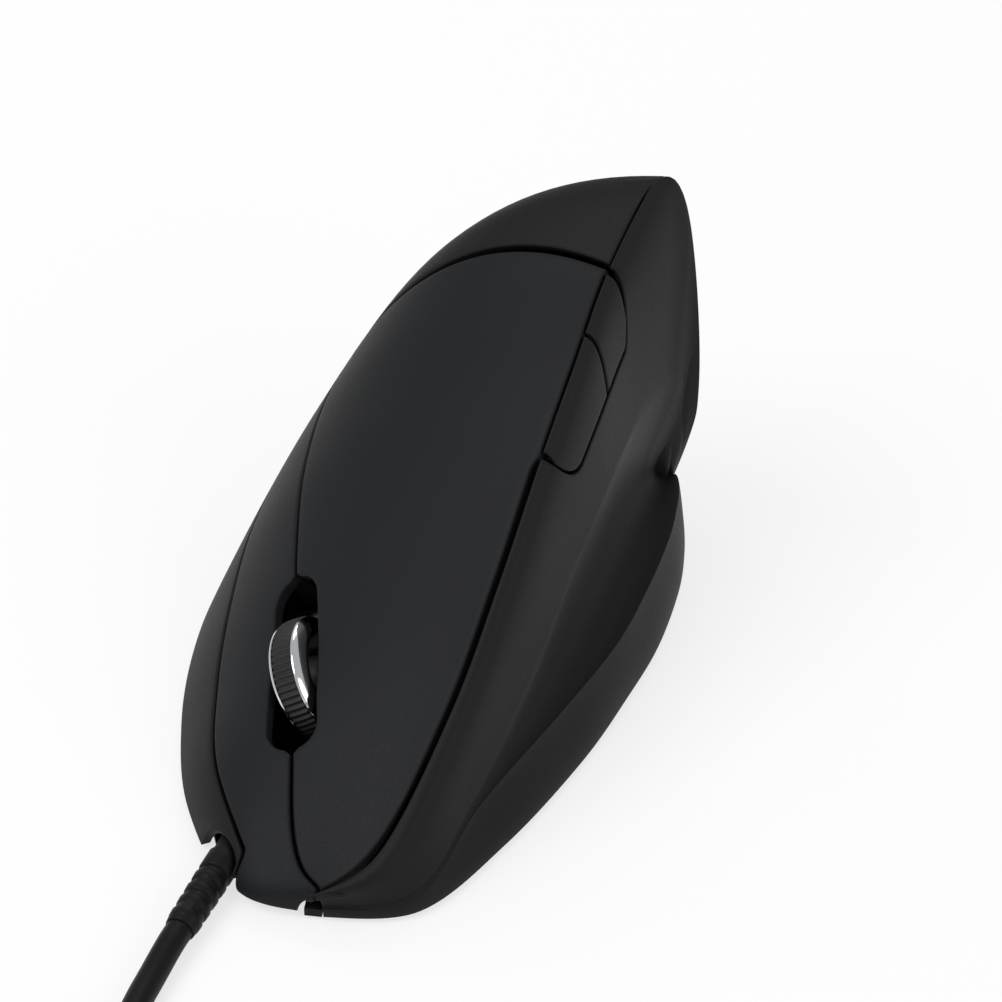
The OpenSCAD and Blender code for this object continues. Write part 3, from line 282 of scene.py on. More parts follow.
def skin(name, outer, inner, body, replaced, edge_round, keep=None, plain_below=None):
    """A closed plate with rounded outer edges, from grids of shape rows, columns, 3."""
    rows, columns = outer.shape[:2]
    keep = np.ones((rows - 1, columns - 1), bool) if keep is None else keep
    faces, rim = grid_faces(rows, columns, keep)
    face_points = outer.reshape(-1, 3)
    deep_points = inner.reshape(-1, 3)
    seams = rim
    if plain_below is not None:
        seams = rim[face_points[rim].mean(1)[:, 2] > plain_below]
    gap = edge_distance(face_points, face_points[seams[:, 0]], face_points[seams[:, 1]])
    gap = np.clip(gap, 0, edge_round)
    sunk = edge_round - np.sqrt(edge_round**2 - (edge_round - gap)**2)
    inward = unit(deep_points - face_points + 1e-9)
    points = np.concatenate([face_points + sunk[:, None] * inward, deep_points])
    used = np.unique(np.array([k for face in faces for k in face]))
    renumber = np.full(len(points), -1)
    renumber[used] = np.arange(len(used))
    kept_faces = [tuple(int(renumber[k]) for k in face) for face in faces]
    return add_piece(name, points[used], kept_faces, body, replaced)


EDGE_ROUND = 0.4
RIM_TOP = 1.5
near_edge = EDGE_ROUND * np.array([0, 0.06, 0.2, 0.42, 0.7, 1.0])

# %% [markdown]
# ## The leaf under the fingers
# One curved face carries both main buttons, the strip under them and the palm shell. It is made of ribs: at
# each station a curve runs from the finger edge up to the ridge, leaving each end at a set slope. The
# pieces on it are then patches of the same face, cut along seams, so neighbours always line up.

# %% Leaf under the fingers
SHELL_WALL = 1.8
REAR_IN = unit(np.array([-1, -0.35, -0.1]))


def deck_ribs(t):
    top, low, lean = spline(ridge, t), spline(finger_edge, t), spline(slopes, t)
    level = unit((top - low) * [1, 1, 0])
    chord = np.linalg.norm(top - low, axis=-1, keepdims=True)
    reach = lean[..., 2:3] * chord
    part = np.minimum(1, (top - low)[..., 2:3] / (0.45 * chord))
    fall, rise = np.radians(lean[..., 0:1]), np.radians(lean[..., 1:2])
    return (low, low + reach * part * (level * np.cos(rise) + UP * np.sin(rise)),
            top - reach * (level * np.cos(fall) + UP * np.sin(fall)), top)


def deck_point(s, t):
    return bezier(deck_ribs(t), s)


def deck_in(s, t):
    """Way into the wall: square to the leaf, but turned into the fin along its rear edge."""
    e = 0.004
    ribs = deck_ribs(t)
    across = bezier(ribs, s + e) - bezier(ribs, s - e)
    along = deck_point(s, np.minimum(t + e, LAST_STATION)) - deck_point(s, np.maximum(t - e, 0))
    turned = (ease((t - 6.3) / 1.2) * ease((s - 0.75) / 0.25))[..., None]
    return unit(mix(-unit(np.cross(across, along)), REAR_IN, turned))


def wall_at(t):
    """The wall thins towards the tip of the nose and beside the cable."""
    return SHELL_WALL * mix(0.4, 1, ease(t / 0.7)) * (1 - 0.5 * np.exp(-((t - 1.4) / 0.26)**2))


def deck_wall(s, t):
    outer = deck_point(s, t)
    inner = outer + deck_in(s, t) * wall_at(t)[..., None]
    inner[..., 2] = np.maximum(inner[..., 2], RIM_LIFT)
    return outer, inner


def deck_step(s, t, distance):
    """Share of s that makes a distance on the leaf."""
    ribs = deck_ribs(t)
    return distance * 0.02 / np.linalg.norm(bezier(ribs, s + 0.01) - bezier(ribs, s - 0.01), axis=-1)


# %% [markdown]
# ## Seams
# The seams are lines of s over t on the leaf. The middle seam opens into the slot of the wheel, which is a
# stadium in the wheel's own axes, and the ridge seam is wide beside the button and thin beside the thumb
# buttons.

# %% Seams
LEFT_NOSE, RIGHT_NOSE = 0.42, 0.12
WINDOW_START, WINDOW_END = 4.0, 6.04
STATION_MM = 17.3
RIDGE_GAP, THIN_GAP, MIDDLE_GAP, STRIP_GAP, REAR_GAP, THUMB_GAP = 1.2, 0.45, 0.5, 0.6, 1.0, 0.6
NOSE_WIDENING = 0.9
SLOT_WIDTH, SLOT_LENGTH = 8.0, 29.0
WHEEL_STATION, WHEEL_SHARE, WHEEL_DEPTH = 2.82, 0.452, 5.5
LOW_SHARE, NEAR_RIDGE = 0.05, 0.98
REAR_SEAM, REAR_SWEEP = 6.5, 0.46
middle_seam = np.array([[0.9], [0.568], [0.493], [0.444], [0.4], [0.375], [0.36], [0.35]])
finger_seam = np.array([[0.29], [0.29], [0.2], [0.17], [0.172], [0.176], [0.18], [0.18]])
tilt, pitch = math.radians(30), math.radians(18)
axis_a = np.array([math.cos(tilt), 0, math.sin(tilt)])
axis_b = np.array([-math.sin(pitch) * math.sin(tilt), math.cos(pitch), math.sin(pitch) * math.cos(tilt)])
axis_c = np.cross(axis_a, axis_b)
wheel_centre = deck_point(np.array(WHEEL_SHARE), np.array(WHEEL_STATION)) - WHEEL_DEPTH * axis_c


def middle_share(t):
    return spline(middle_seam, t)[..., 0]


def finger_share(t):
    """The seam over the strip, which falls to the rim in front of the cable."""
    return mix(LOW_SHARE, spline(finger_seam, t)[..., 0], ease((t - 0.95) / 0.35))


def slot_half(t):
    """Half width of the seam between the main buttons, opened to the slot around the wheel."""
    b = np.abs((deck_point(middle_share(t), t) - wheel_centre) @ axis_b)
    radius = SLOT_WIDTH / 2
    past = np.maximum(b - (SLOT_LENGTH / 2 - radius), 0)
    opened = np.sqrt(np.maximum(radius**2 - past**2, 0))
    return np.maximum(MIDDLE_GAP / 2, opened)


def rear_station(s):
    """The seam behind the main buttons, which sweeps forward as it nears the ridge."""
    return REAR_SEAM - REAR_SWEEP * np.maximum(s, 0)**6


def left_low(t):
    return middle_share(t) + deck_step(middle_share(t), t, slot_half(t))


def left_high(t):
    room = mix(RIDGE_GAP, THIN_GAP, np.clip((t - WINDOW_START + 0.06) / 0.1, 0, 1))
    room = room + NOSE_WIDENING * ease((1.5 - t) / 0.8)
    return 1 - deck_step(np.full_like(t, NEAR_RIDGE), t, room)


def right_low(t):
    return finger_share(t) + deck_step(finger_share(t), t, STRIP_GAP / 2)


def right_high(t):
    return middle_share(t) - deck_step(middle_share(t), t, slot_half(t))


print("wheel centre", np.round(wheel_centre, 2))

# %% [markdown]
# ## Main buttons
# Each main button is one thin cap. The rows of the grid lie closer at the rounded ends of the slot, and near
# every edge there are a few close rows and columns for the rounding.

# %% Main buttons
CAP_LAST = 5.5


def rows_between(first, last, step, first_mm, last_mm):
    """Stations with close rows at both ends, whose distances are given in millimetres to a station."""
    start = first + near_edge[-1] / first_mm + step / 2
    end = last - near_edge[-1] / last_mm - step / 4
    middle = np.arange(start, end, step)
    return np.concatenate([first + near_edge / first_mm, middle, (last - near_edge / last_mm)[::-1]])


def columns_between(low, high, t, count):
    """Shares of s from low to high over each row, with close columns at both edges."""
    near = [low + deck_step(low, t, d) for d in near_edge]
    far = [high - deck_step(high, t, d) for d in near_edge[::-1]]
    middle = [mix(near[-1], far[0], k / count) for k in range(1, count)]
    return near + middle + far


def main_cap(name, low, high, count, body, nose):
    slot_turns = np.radians(np.linspace(0, 90, 13))
    slot_ends = (SLOT_LENGTH - SLOT_WIDTH) / 2 + SLOT_WIDTH / 2 * np.sin(slot_turns)
    slot_rows = WHEEL_STATION + np.concatenate([-slot_ends, slot_ends]) / STATION_MM
    plain_rows = rows_between(nose, CAP_LAST, 0.05, 10.0, 1000.0)
    steep_rows = np.arange(0.94, 1.4, 0.02)
    front = np.unique(np.round(np.concatenate([plain_rows, steep_rows, slot_rows]), 4))
    shares = np.array(columns_between(low(front), high(front), front, count)).T
    stations = np.repeat(front[:, None], shares.shape[1], axis=1)
    six = np.full(shares.shape[1], 6.0)
    rear_share = np.array(columns_between(low(six[:1]), high(six[:1]), six[:1], count))[:, 0]
    rear_end = rear_station(rear_share) - 0.5 * REAR_GAP / STATION_MM
    back_rows = []
    for back in 1.0 - np.concatenate([np.linspace(0.95, 0.06, 16), near_edge[::-1] / STATION_MM]):
        back_rows.append(mix(CAP_LAST, rear_end, back))
    back_stations = np.array(back_rows)
    back_shares = np.array([[columns_between(low(t[None]), high(t[None]), t[None], count)[k][0]
                             for k, t in enumerate(row)] for row in back_stations])
    all_shares = np.concatenate([shares, back_shares])
    all_stations = np.concatenate([stations, back_stations])
    outer, inner = deck_wall(all_shares, all_stations)
    cap = skin(name, outer, inner, body, [body], EDGE_ROUND)
    return cap


left_cap = main_cap("left_button_cap", left_low, left_high, 34, "left_button", LEFT_NOSE)
right_cap = main_cap("right_button_cap", right_low, right_high, 24, "right_button", RIGHT_NOSE)

# %% [markdown]
# ## Palm shell
# The palm shell is the heel of the mouse together with the narrow strip that runs forward under the lower
# button. One grid covers both: in front of the rear seam only the strip's columns are kept.

# %% Palm shell
STRIP_START = 1.1
ARCH_STATION, ARCH_HALF, ARCH_SHARE = 1.31, 0.295, 0.205


def strip_high(t):
    return finger_share(t) - deck_step(finger_share(t), t, STRIP_GAP / 2)


def arch_low(t):
    """Lower edge of the strip, with an arch over the cable's relief."""
    return ARCH_SHARE * np.sqrt(np.maximum(1 - ((t - ARCH_STATION) / ARCH_HALF)**2, 0))


def palm_row(t):
    """Shares of s over a row: the strip's columns, then those of the palm."""
    edge = strip_high(t)
    last = 1 - deck_step(np.full_like(t, NEAR_RIDGE), t, THIN_GAP / 2)
    far = [edge - deck_step(edge, t, d) for d in near_edge[::-1]]
    strip = [mix(arch_low(t), far[0], k / 8) for k in range(8)] + far
    palm = columns_between(edge, last, t, 30)[1:]
    return np.array(strip + palm).T


STRIP_COLUMNS = 8 + len(near_edge)
arch_turns = np.radians(np.linspace(0, 180, 37))
arch_rows = ARCH_STATION - ARCH_HALF * np.cos(arch_turns)
strip_rows = np.concatenate([STRIP_START + near_edge / STATION_MM, arch_rows[arch_rows > STRIP_START + 0.03],
                             np.arange(1.65, 6.3, 0.1)])
strip_shares = palm_row(strip_rows)
strip_stations = np.repeat(strip_rows[:, None], strip_shares.shape[1], axis=1)
edge_share = palm_row(np.array([6.3]))[0]
rear_edge = rear_station(edge_share) + REAR_GAP / 2 / STATION_MM
palm_steps = np.concatenate([near_edge / STATION_MM / 4.5, np.linspace(0.02, 1, 70)])
palm_stations = np.array([mix(rear_edge, TAIL_STATION, step) for step in palm_steps])
palm_shares = np.array([palm_row(row)[np.arange(len(row)), np.arange(len(row))] for row in palm_stations])
all_shares = np.concatenate([strip_shares, palm_shares])
all_stations = np.concatenate([strip_stations, palm_stations])
outer, inner = deck_wall(all_shares, all_stations)
keep = np.ones((len(all_shares) - 1, all_shares.shape[1] - 1), bool)
keep[:len(strip_rows), STRIP_COLUMNS - 1:] = False
palm_skin = skin("palm_shell_skin", outer, inner, "case", ["palm_shell"], EDGE_ROUND, keep,
                 plain_below=RIM_TOP)

# %% [markdown]
# ## Thumb shell and thumb buttons
# The thumb side falls from the rounded ridge down a nearly flat face to a crease, hollows out for the
# thumb, and turns over a ledge to the skirt. It is a second leaf, made of three curves in a row. The window
# for the thumb buttons is cut by starting the shell lower, and the buttons are patches of the same leaf.

# %% Thumb leaf
RIDGE_ROUND = 2.2


def thumb_ribs(t, inset):
    d = spline(thumb_edge, np.minimum(t + 0.02, LAST_STATION)) - spline(thumb_edge, np.maximum(t - 0.02, 0))
    out = unit(np.stack([d[..., 1], -d[..., 0], 0 * d[..., 0]], -1))
    inset = (inset * np.ones_like(t))[..., None]
    top = spline(ridge, t) + inset * deck_in(np.ones_like(t), t)
    return (top, spline(crease, t) - inset * (out + 0.15 * UP), spline(ledge, t) - inset * (out + 0.85 * UP),
            spline(thumb_edge, t) - inset * out, out, np.maximum(RIDGE_ROUND - inset, 0.5))


def thumb_from(ribs, u):
    top, fold, shelf, low, out, bend = ribs
    drop = np.linalg.norm(top - fold, axis=-1, keepdims=True)
    dip, skirt = (fold - shelf)[..., 2:3], (shelf - low)[..., 2:3]
    face = bezier([top, top + np.minimum(bend, 0.3 * drop) * 1.6 * out,
                   mix(fold, top, 0.5) + 0.9 * out * np.minimum(1, drop / 12), fold], np.clip(u, 0, 1))
    scoop = bezier([fold, fold - UP * dip * 0.55 - out * 0.1 * dip, shelf - out * 0.45 * dip, shelf],
                   np.clip(u - 1, 0, 1))
    lower = bezier([shelf, shelf - UP * skirt * 0.3 + out * 0.6 * np.minimum(1, skirt / 6),
                    low + UP * skirt * 0.35 + out * 0.1, low], np.clip(u - 2, 0, 1))
    u = np.asarray(u)[..., None]
    return np.where(u <= 1, face, np.where(u <= 2, scoop, lower))


def thumb_wall(u, t):
    return thumb_from(thumb_ribs(t, 0), u), thumb_from(thumb_ribs(t, wall_at(t)), u)


def thumb_step(u, t, distance):
    ribs = thumb_ribs(t, 0)
    across = thumb_from(ribs, u + 0.01) - thumb_from(ribs, np.maximum(u - 0.01, 0))
    return distance * 0.02 / np.linalg.norm(across, axis=-1)


WINDOW_DEPTH, WINDOW_FRONT, WINDOW_BACK = 0.62, 0.55, 0.2


def window_low(t):
    """How far down the face the window reaches, with a round corner at each end."""
    front = np.clip((WINDOW_START + WINDOW_FRONT - t) / WINDOW_FRONT, 0, 1)
    back = np.clip((t - WINDOW_END + WINDOW_BACK) / WINDOW_BACK, 0, 1)
    return WINDOW_DEPTH * np.sqrt(np.maximum(1 - front**2, 0)) * np.sqrt(np.maximum(1 - back**2, 0))


# %% Thumb shell
quarter = np.radians(np.linspace(0, 90, 25))
thumb_rows = np.unique(np.round(np.concatenate([
    RIGHT_NOSE + near_edge / 10, np.arange(0.18, TAIL_STATION, 0.06), [TAIL_STATION],
    WINDOW_START + WINDOW_FRONT * (1 - np.cos(quarter)),
    WINDOW_END - WINDOW_BACK * (1 - np.sin(quarter))]), 4))
top_edge = window_low(thumb_rows)
near_top = [top_edge + thumb_step(np.maximum(top_edge, 0.02), thumb_rows, d) for d in near_edge]
face_columns = [mix(near_top[-1], 1.0, f) for f in np.linspace(0, 1, 22)[1:]]
rest = np.concatenate([np.linspace(1, 2, 30)[1:], np.linspace(2, 3, 16)[1:]])
shell_u = np.array(near_top + face_columns + [np.full_like(thumb_rows, u) for u in rest]).T
shell_t = np.repeat(thumb_rows[:, None], shell_u.shape[1], axis=1)
outer, inner = thumb_wall(shell_u, shell_t)
thumb_skin = skin("thumb_shell_skin", outer, inner, "case", ["thumb_shell"], EDGE_ROUND, plain_below=RIM_TOP)

# %% Thumb buttons
THUMB_SPLIT = 5.32


def thumb_cap(name, first, last, body):
    rows = rows_between(first, last, 0.03, STATION_MM, STATION_MM)
    low = window_low(rows) - thumb_step(np.maximum(window_low(rows), 0.2), rows, THUMB_GAP)
    near = [thumb_step(np.full_like(rows, 0.02), rows, d) for d in near_edge]
    far = [low - thumb_step(low, rows, d) for d in near_edge[::-1]]
    middle = [mix(near[-1], far[0], f) for f in np.linspace(0, 1, 22)[1:-1]]
    u = np.array(near + middle + far).T
    outer, inner = thumb_wall(u, np.repeat(rows[:, None], u.shape[1], axis=1))
    cap = skin(name, outer, inner, body, [body], EDGE_ROUND)
    return cap


half_room = THUMB_GAP / STATION_MM / 2
forward_cap = thumb_cap("forward_button_cap", WINDOW_START + 0.06, THUMB_SPLIT - half_room, "forward_button")
back_cap = thumb_cap("back_button_cap", THUMB_SPLIT + half_room, WINDOW_END - 0.075, "back_button")

# %% [markdown]
# ## Scroll wheel
# The wheel is a black rubber tyre with fine ribs between two bright plated rings. Turned parts come from a
# profile swept round an axis. The ribs are a wave in the tyre's radius, because they are large enough to
# show as real geometry.

# %% Scroll wheel
WHEEL_RADIUS, TYRE_HALF, HUB_RADIUS = 9.2, 1.7, 6.4
RIB_COUNT, RIB_DEPTH, TYRE_CROWN = 56, 0.35, 0.12


def turned(name, profile, steps, origin, axes, body, replaced, radius_wave=None):
    """A closed profile of (radius, height) swept round the first of three axes."""
    angles = np.arange(steps) * 2 * math.pi / steps
    along, side, over = axes
    points = []
    for angle in angles:
        for radius, height in profile:
            reach = radius if radius_wave is None else radius_wave(radius, height, angle)
            spoke = math.cos(angle) * side + math.sin(angle) * over
            points.append(origin + height * along + reach * spoke)
    count = len(profile)
    faces = []
    for i in range(steps):
        k = (i + 1) % steps
        for j in range(count):
            m = (j + 1) % count
            faces.append((i * count + j, k * count + j, k * count + m, i * count + m))
    return add_piece(name, points, faces, body, replaced, sharp=50.0)


def tyre_wave(radius, height, angle):
    crown = TYRE_CROWN * (height / TYRE_HALF)**2
    wave = RIB_DEPTH / 2 * (1 - math.cos(angle * RIB_COUNT))
    return radius - crown - wave if radius > WHEEL_RADIUS - 1.0 else radius


tyre_half_profile = [(-1.0, TYRE_HALF), (-0.3, TYRE_HALF - 0.02), (-0.08, TYRE_HALF - 0.12),
                     (0.0, TYRE_HALF - 0.35), (0.0, 0.7)]
tyre_profile = ([(HUB_RADIUS, -TYRE_HALF), (HUB_RADIUS, TYRE_HALF)]
                + [(WHEEL_RADIUS + sunk, height) for sunk, height in tyre_half_profile]
                + [(WHEEL_RADIUS, 0.0)]
                + [(WHEEL_RADIUS + sunk, -height) for sunk, height in tyre_half_profile[::-1]])
wheel_axes = (axis_a, axis_b, axis_c)
tyre = turned("ribbed_tyre", tyre_profile, RIB_COUNT * 8, wheel_centre, wheel_axes, "wheel",
              ["scroll_tyre"], tyre_wave)
ring_outer = [(8.9, 0.0), (8.9, 0.22), (8.84, 0.34), (8.66, 0.49), (8.4, 0.69), (8.1, 0.89), (7.75, 1.04),
              (7.4, 1.16), (7.0, 1.26), (6.6, 1.3), (6.2, 1.27), (5.8, 1.16), (4.9, 0.94), (3.9, 0.74),
              (2.9, 0.6), (2.9, 0.0)]
for side_name, sign in (("left", 1.0), ("right", -1.0)):
    profile = [(radius, sign * (TYRE_HALF + height)) for radius, height in ring_outer]
    profile = profile if sign < 0 else profile[::-1]
    ring = turned("plated_ring_" + side_name, profile, 160, wheel_centre, wheel_axes, "wheel",
                  ["wheel_ring_" + side_name])

# %% [markdown]
# ## Cable relief, strap and plug
# The relief is a soft moulded sleeve whose slots alternate from side to side, so that it bends without a
# kink. It is a turned form with the slots cut as a change of radius. The strap is a band round the coil,
# and the plug's grip is a stack of rounded sections with shallow finger grooves.

# %% Cable relief
RELIEF_RADIUS = CABLE_RADIUS + 0.55
CORE_RADIUS = CABLE_RADIUS + 0.2
RELIEF_STEP = RELIEF_OUT / 5
relief_axes = (cable_way, unit(np.cross(cable_way, UP)), np.cross(unit(np.cross(cable_way, UP)), cable_way))
relief_profile = [(0.9, -RELIEF_IN), (RELIEF_RADIUS + 0.2, -RELIEF_IN),
                  (RELIEF_RADIUS + 0.2, 1.6 - RELIEF_IN), (CORE_RADIUS, 1.7 - RELIEF_IN),
                  (CORE_RADIUS, -2.0), (RELIEF_RADIUS, -1.95),
                  (RELIEF_RADIUS, 1.1), (RELIEF_RADIUS - 0.12, 1.32), (CORE_RADIUS, 1.4)]
for k in range(4):
    start = 2.4 + k * RELIEF_STEP
    end = start + RELIEF_STEP - 0.9
    big = RELIEF_RADIUS - 0.04 * k
    relief_profile += [(CORE_RADIUS, start), (big - 0.1, start + 0.06), (big, start + 0.25),
                       (big - 0.06, end - 0.25), (big - 0.2, end - 0.05), (CORE_RADIUS, end)]
relief_profile += [(CORE_RADIUS, RELIEF_OUT - 0.1), (CORE_RADIUS - 0.1, RELIEF_OUT),
                   (CABLE_RADIUS + 0.03, RELIEF_OUT), (0.9, RELIEF_OUT - 2.2)]


def relief_wave(radius, height, angle):
    """Two webs bridge each slot, a quarter turn on from one slot to the next."""
    if radius > CORE_RADIUS + 0.01 or height < 1 or height > RELIEF_OUT - 0.5:
        return radius
    slot = round((height - 1.9) / RELIEF_STEP + 0.001)
    web = ease((abs(math.cos(angle + slot * math.pi / 2)) - 0.86) / 0.06)
    return mix(radius, RELIEF_RADIUS - 0.25, web)


relief = turned("relief_boot", relief_profile, 64, cable_exit, relief_axes, "case",
                ["strain_relief"], relief_wave)

# %% Coil strap
STRAP_THICK = 0.7
STRAP_HALF = 2.5
strap_inner = COIL_RADIUS - COIL_PITCH * (COIL_TURNS + 0.25) - CABLE_RADIUS - 0.9
strap_outer = COIL_RADIUS + CABLE_RADIUS + 0.6
strap_top = COIL_LOW + COIL_PITCH + CABLE_RADIUS + 0.3
strap_low = 0.05 + STRAP_THICK


def strap_line(grow):
    """A round-cornered loop in the plane across the coil, grown outward."""
    corner = 2.4 + grow
    x0, x1 = strap_inner - grow, strap_outer + grow
    z0, z1 = strap_low - grow, strap_top + grow
    loop = []
    for cx, cz, turn in ((x1 - corner, z1 - corner, 0), (x0 + corner, z1 - corner, 90),
                         (x0 + corner, z0 + corner, 180), (x1 - corner, z0 + corner, 270)):
        for step in range(9):
            angle = math.radians(turn + step * 90 / 8)
            loop.append((cx + corner * math.cos(angle), cz + corner * math.sin(angle)))
    return loop


strap_rings = [(0.0, -STRAP_HALF), (0.0, STRAP_HALF), (STRAP_THICK * 0.7, STRAP_HALF),
               (STRAP_THICK, STRAP_HALF - 0.25), (STRAP_THICK, 0.25 - STRAP_HALF),
               (STRAP_THICK * 0.7, -STRAP_HALF)]
loop_count = len(strap_line(0.0))
strap_points = [coil_middle + np.array([x, y, z]) for grow, y in strap_rings for x, z in strap_line(grow)]
strap_faces = []
for i in range(len(strap_rings)):
    k = (i + 1) % len(strap_rings)
    for j in range(loop_count):
        m = (j + 1) % loop_count
        strap_faces.append((i * loop_count + j, i * loop_count + m, k * loop_count + m, k * loop_count + j))
strap = add_piece("coil_strap", strap_points, strap_faces, "case", ["cable_tie"])

# %% Plug grip
GRIP_WIDTH, GRIP_LENGTH = 15.5, 20.0


def round_section(width, height, corner):
    section = []
    for cy, cz, turn in ((1, 1, 0), (-1, 1, 90), (-1, -1, 180), (1, -1, 270)):
        for step in range(9):
            angle = math.radians(turn + step * 90 / 8)
            section.append((cy * (width / 2 - corner) + corner * math.cos(angle),
                            cz * (height / 2 - corner) + corner * math.sin(angle)))
    return section


grip_rings = [(-3.0, 2 * 2.2, 2 * 2.2, 2.15), (-3.0, 2 * 2.9, 2 * 2.9, 2.85), (-2.8, 2 * 3.0, 2 * 3.0, 2.95),
              (-0.2, 2 * 3.0, 2 * 3.0, 2.95), (0.0, 6.8, 6.4, 2.9),
              (0.0, GRIP_WIDTH - 1.6, GRIP_THICK - 1.6, 2.2),
              (0.25, GRIP_WIDTH - 0.7, GRIP_THICK - 0.7, 2.2), (0.9, GRIP_WIDTH, GRIP_THICK, 2.2)]
for k in range(5):
    x = 3.0 + k * 2.1
    grip_rings += [(x, GRIP_WIDTH, GRIP_THICK, 2.2), (x + 0.3, GRIP_WIDTH - 0.8, GRIP_THICK - 0.3, 2.2),
                   (x + 0.9, GRIP_WIDTH - 0.8, GRIP_THICK - 0.3, 2.2),
                   (x + 1.2, GRIP_WIDTH, GRIP_THICK, 2.2)]
grip_rings += [(19.3, GRIP_WIDTH, GRIP_THICK, 2.2), (19.8, GRIP_WIDTH - 0.5, GRIP_THICK - 0.5, 2.1),
               (GRIP_LENGTH, GRIP_WIDTH - 1.2, GRIP_THICK - 1.2, 2.0),
               (GRIP_LENGTH, 12.12, 4.62, 0.3), (GRIP_LENGTH - 2.0, 12.12, 4.62, 0.3)]
section_count = 36
grip_points = [grip_root + np.array([x, y, z]) for x, width, height, corner in grip_rings
               for y, z in round_section(width, height, corner)]
grip_faces = [tuple(range(section_count))[::-1],
              tuple(range((len(grip_rings) - 1) * section_count, len(grip_rings) * section_count))]
for i in range(len(grip_rings) - 1):
    for j in range(section_count):
        m = (j + 1) % section_count
        grip_faces.append((i * section_count + j, i * section_count + m,
                           (i + 1) * section_count + m, (i + 1) * section_count + j))
grip = add_piece("plug_overmould", grip_points, grip_faces, "case", ["plug_grip"])

# %% [markdown]
# ## Finishes
# Each finish starts from the real material and how its surface was made. Object coordinates are metres in
# the mouse's own frame, so a pattern's scale comes straight from a size in millimetres. One small function
# adds nodes, and one turns the colours, written as they look on a screen, into light.

# %% Material helpers
def linear(code):
    """A screen colour such as 2d2e30 as linear light."""
    shares = [int(code[k:k + 2], 16) / 255 for k in (0, 2, 4)]
    return [c / 12.92 if c <= 0.04045 else ((c + 0.055) / 1.055)**2.4 for c in shares] + [1.0]


def per_metre(millimetres):
    return 1000.0 / millimetres


def add_node(tree, kind, inputs, **settings):
    node = tree.nodes.new(kind)
    for name, value in settings.items():
        setattr(node, name, value)
    for name, value in inputs.items():
        if isinstance(value, bpy.types.NodeSocket):
            tree.links.new(value, node.inputs[name])
        else:
            node.inputs[name].default_value = value
    return node


def moulded(name, dark, light, patch_mm, grain_mm, grain_depth_mm, rough_low, rough_high, sockets):
    """A moulded or worked surface: two close colours in soft patches, a fine grain in gloss and relief."""
    material = bpy.data.materials.new(name)
    material.use_nodes = True
    tree = material.node_tree
    shader = tree.nodes["Principled BSDF"]
    place = add_node(tree, "ShaderNodeTexCoord", {}).outputs["Object"]
    patches = add_node(tree, "ShaderNodeTexNoise",
                       {"Vector": place, "Scale": per_metre(patch_mm), "Detail": 3.0})
    grain = add_node(tree, "ShaderNodeTexNoise",
                     {"Vector": place, "Scale": per_metre(grain_mm), "Detail": 2.0})
    colour = add_node(tree, "ShaderNodeMix", {0: patches.outputs["Fac"], 6: linear(dark), 7: linear(light)},
                      data_type="RGBA")
    rough = add_node(tree, "ShaderNodeMapRange",
                     {"Value": grain.outputs["Fac"], "From Min": 0.3, "From Max": 0.7,
                      "To Min": rough_low, "To Max": rough_high})
    relief_node = add_node(tree, "ShaderNodeBump", {"Height": grain.outputs["Fac"], "Strength": 0.5,
                                                    "Distance": grain_depth_mm * MM})
    tree.links.new(colour.outputs[2], shader.inputs["Base Color"])
    tree.links.new(rough.outputs["Result"], shader.inputs["Roughness"])
    tree.links.new(relief_node.outputs["Normal"], shader.inputs["Normal"])
    for socket, value in sockets.items():
        shader.inputs[socket].default_value = value
    return material


# %% Finishes
# Spark-eroded ABS: the mould's fine pits scatter the light, so the caps are an even dark grey with a soft
# sheen. The real grain is about 0.1 mm; it is drawn at 0.3 mm so that it shows. The pits also hold light,
# so the matt blacks mirror less than a smooth face of the same plastic.
MATT_MIRROR = 0.13
BLACK_ABS = {"IOR": 1.5, "Specular IOR Level": MATT_MIRROR}
cap_abs = moulded("spark_eroded_abs_caps", "191a1c", "1d1e20", 18, 0.3, 0.02, 0.48, 0.58, BLACK_ABS)
shell_abs = moulded("spark_eroded_abs_shell", "171718", "1b1b1c", 20, 0.3, 0.02, 0.5, 0.6, BLACK_ABS)
# Plain moulded ABS of the base: darker than the shells, with a coarser grain
base_abs = moulded("moulded_abs_base", "0f0f10", "131314", 15, 0.5, 0.02, 0.5, 0.6, BLACK_ABS)
# Moulded ABS of the inner pieces: a dark grey, a little glossier than the outside
inner_abs = moulded("moulded_abs_inside", "2b2b2d", "303033", 8, 0.6, 0.02, 0.42, 0.55, {"IOR": 1.5})
# Moulded nylon of the plungers: a warm off-white with a low gloss
white_nylon = moulded("moulded_nylon", "d6d2c6", "e0ddd2", 5, 0.5, 0.02, 0.4, 0.5, {"IOR": 1.53})
# Skived PTFE of the glide feet: waxy, and glossier than the base
glide_ptfe = moulded("skived_ptfe_feet", "323335", "3a3b3d", 6, 0.8, 0.02, 0.28, 0.4, {"IOR": 1.38})
# Moulded thermoplastic rubber of the tyre: near black and dull, so that the ribs show by their shade
tyre_rubber = moulded("moulded_tpe_tyre", "111112", "161617", 3, 0.25, 0.02, 0.55, 0.7, {"IOR": 1.5})
# Extruded PVC of the cable: near black with a soft sheen
jacket_pvc = moulded("extruded_pvc_jacket", "0d0d0e", "111112", 9, 0.4, 0.015, 0.44, 0.56,
                     {"IOR": 1.52, "Specular IOR Level": MATT_MIRROR})
# Chrome plated on ABS: a bright, sharp mirror
bright_plate = moulded("chrome_plated_abs", "d2d4d6", "dadcde", 4, 0.7, 0.002, 0.06, 0.12, {"Metallic": 1.0})
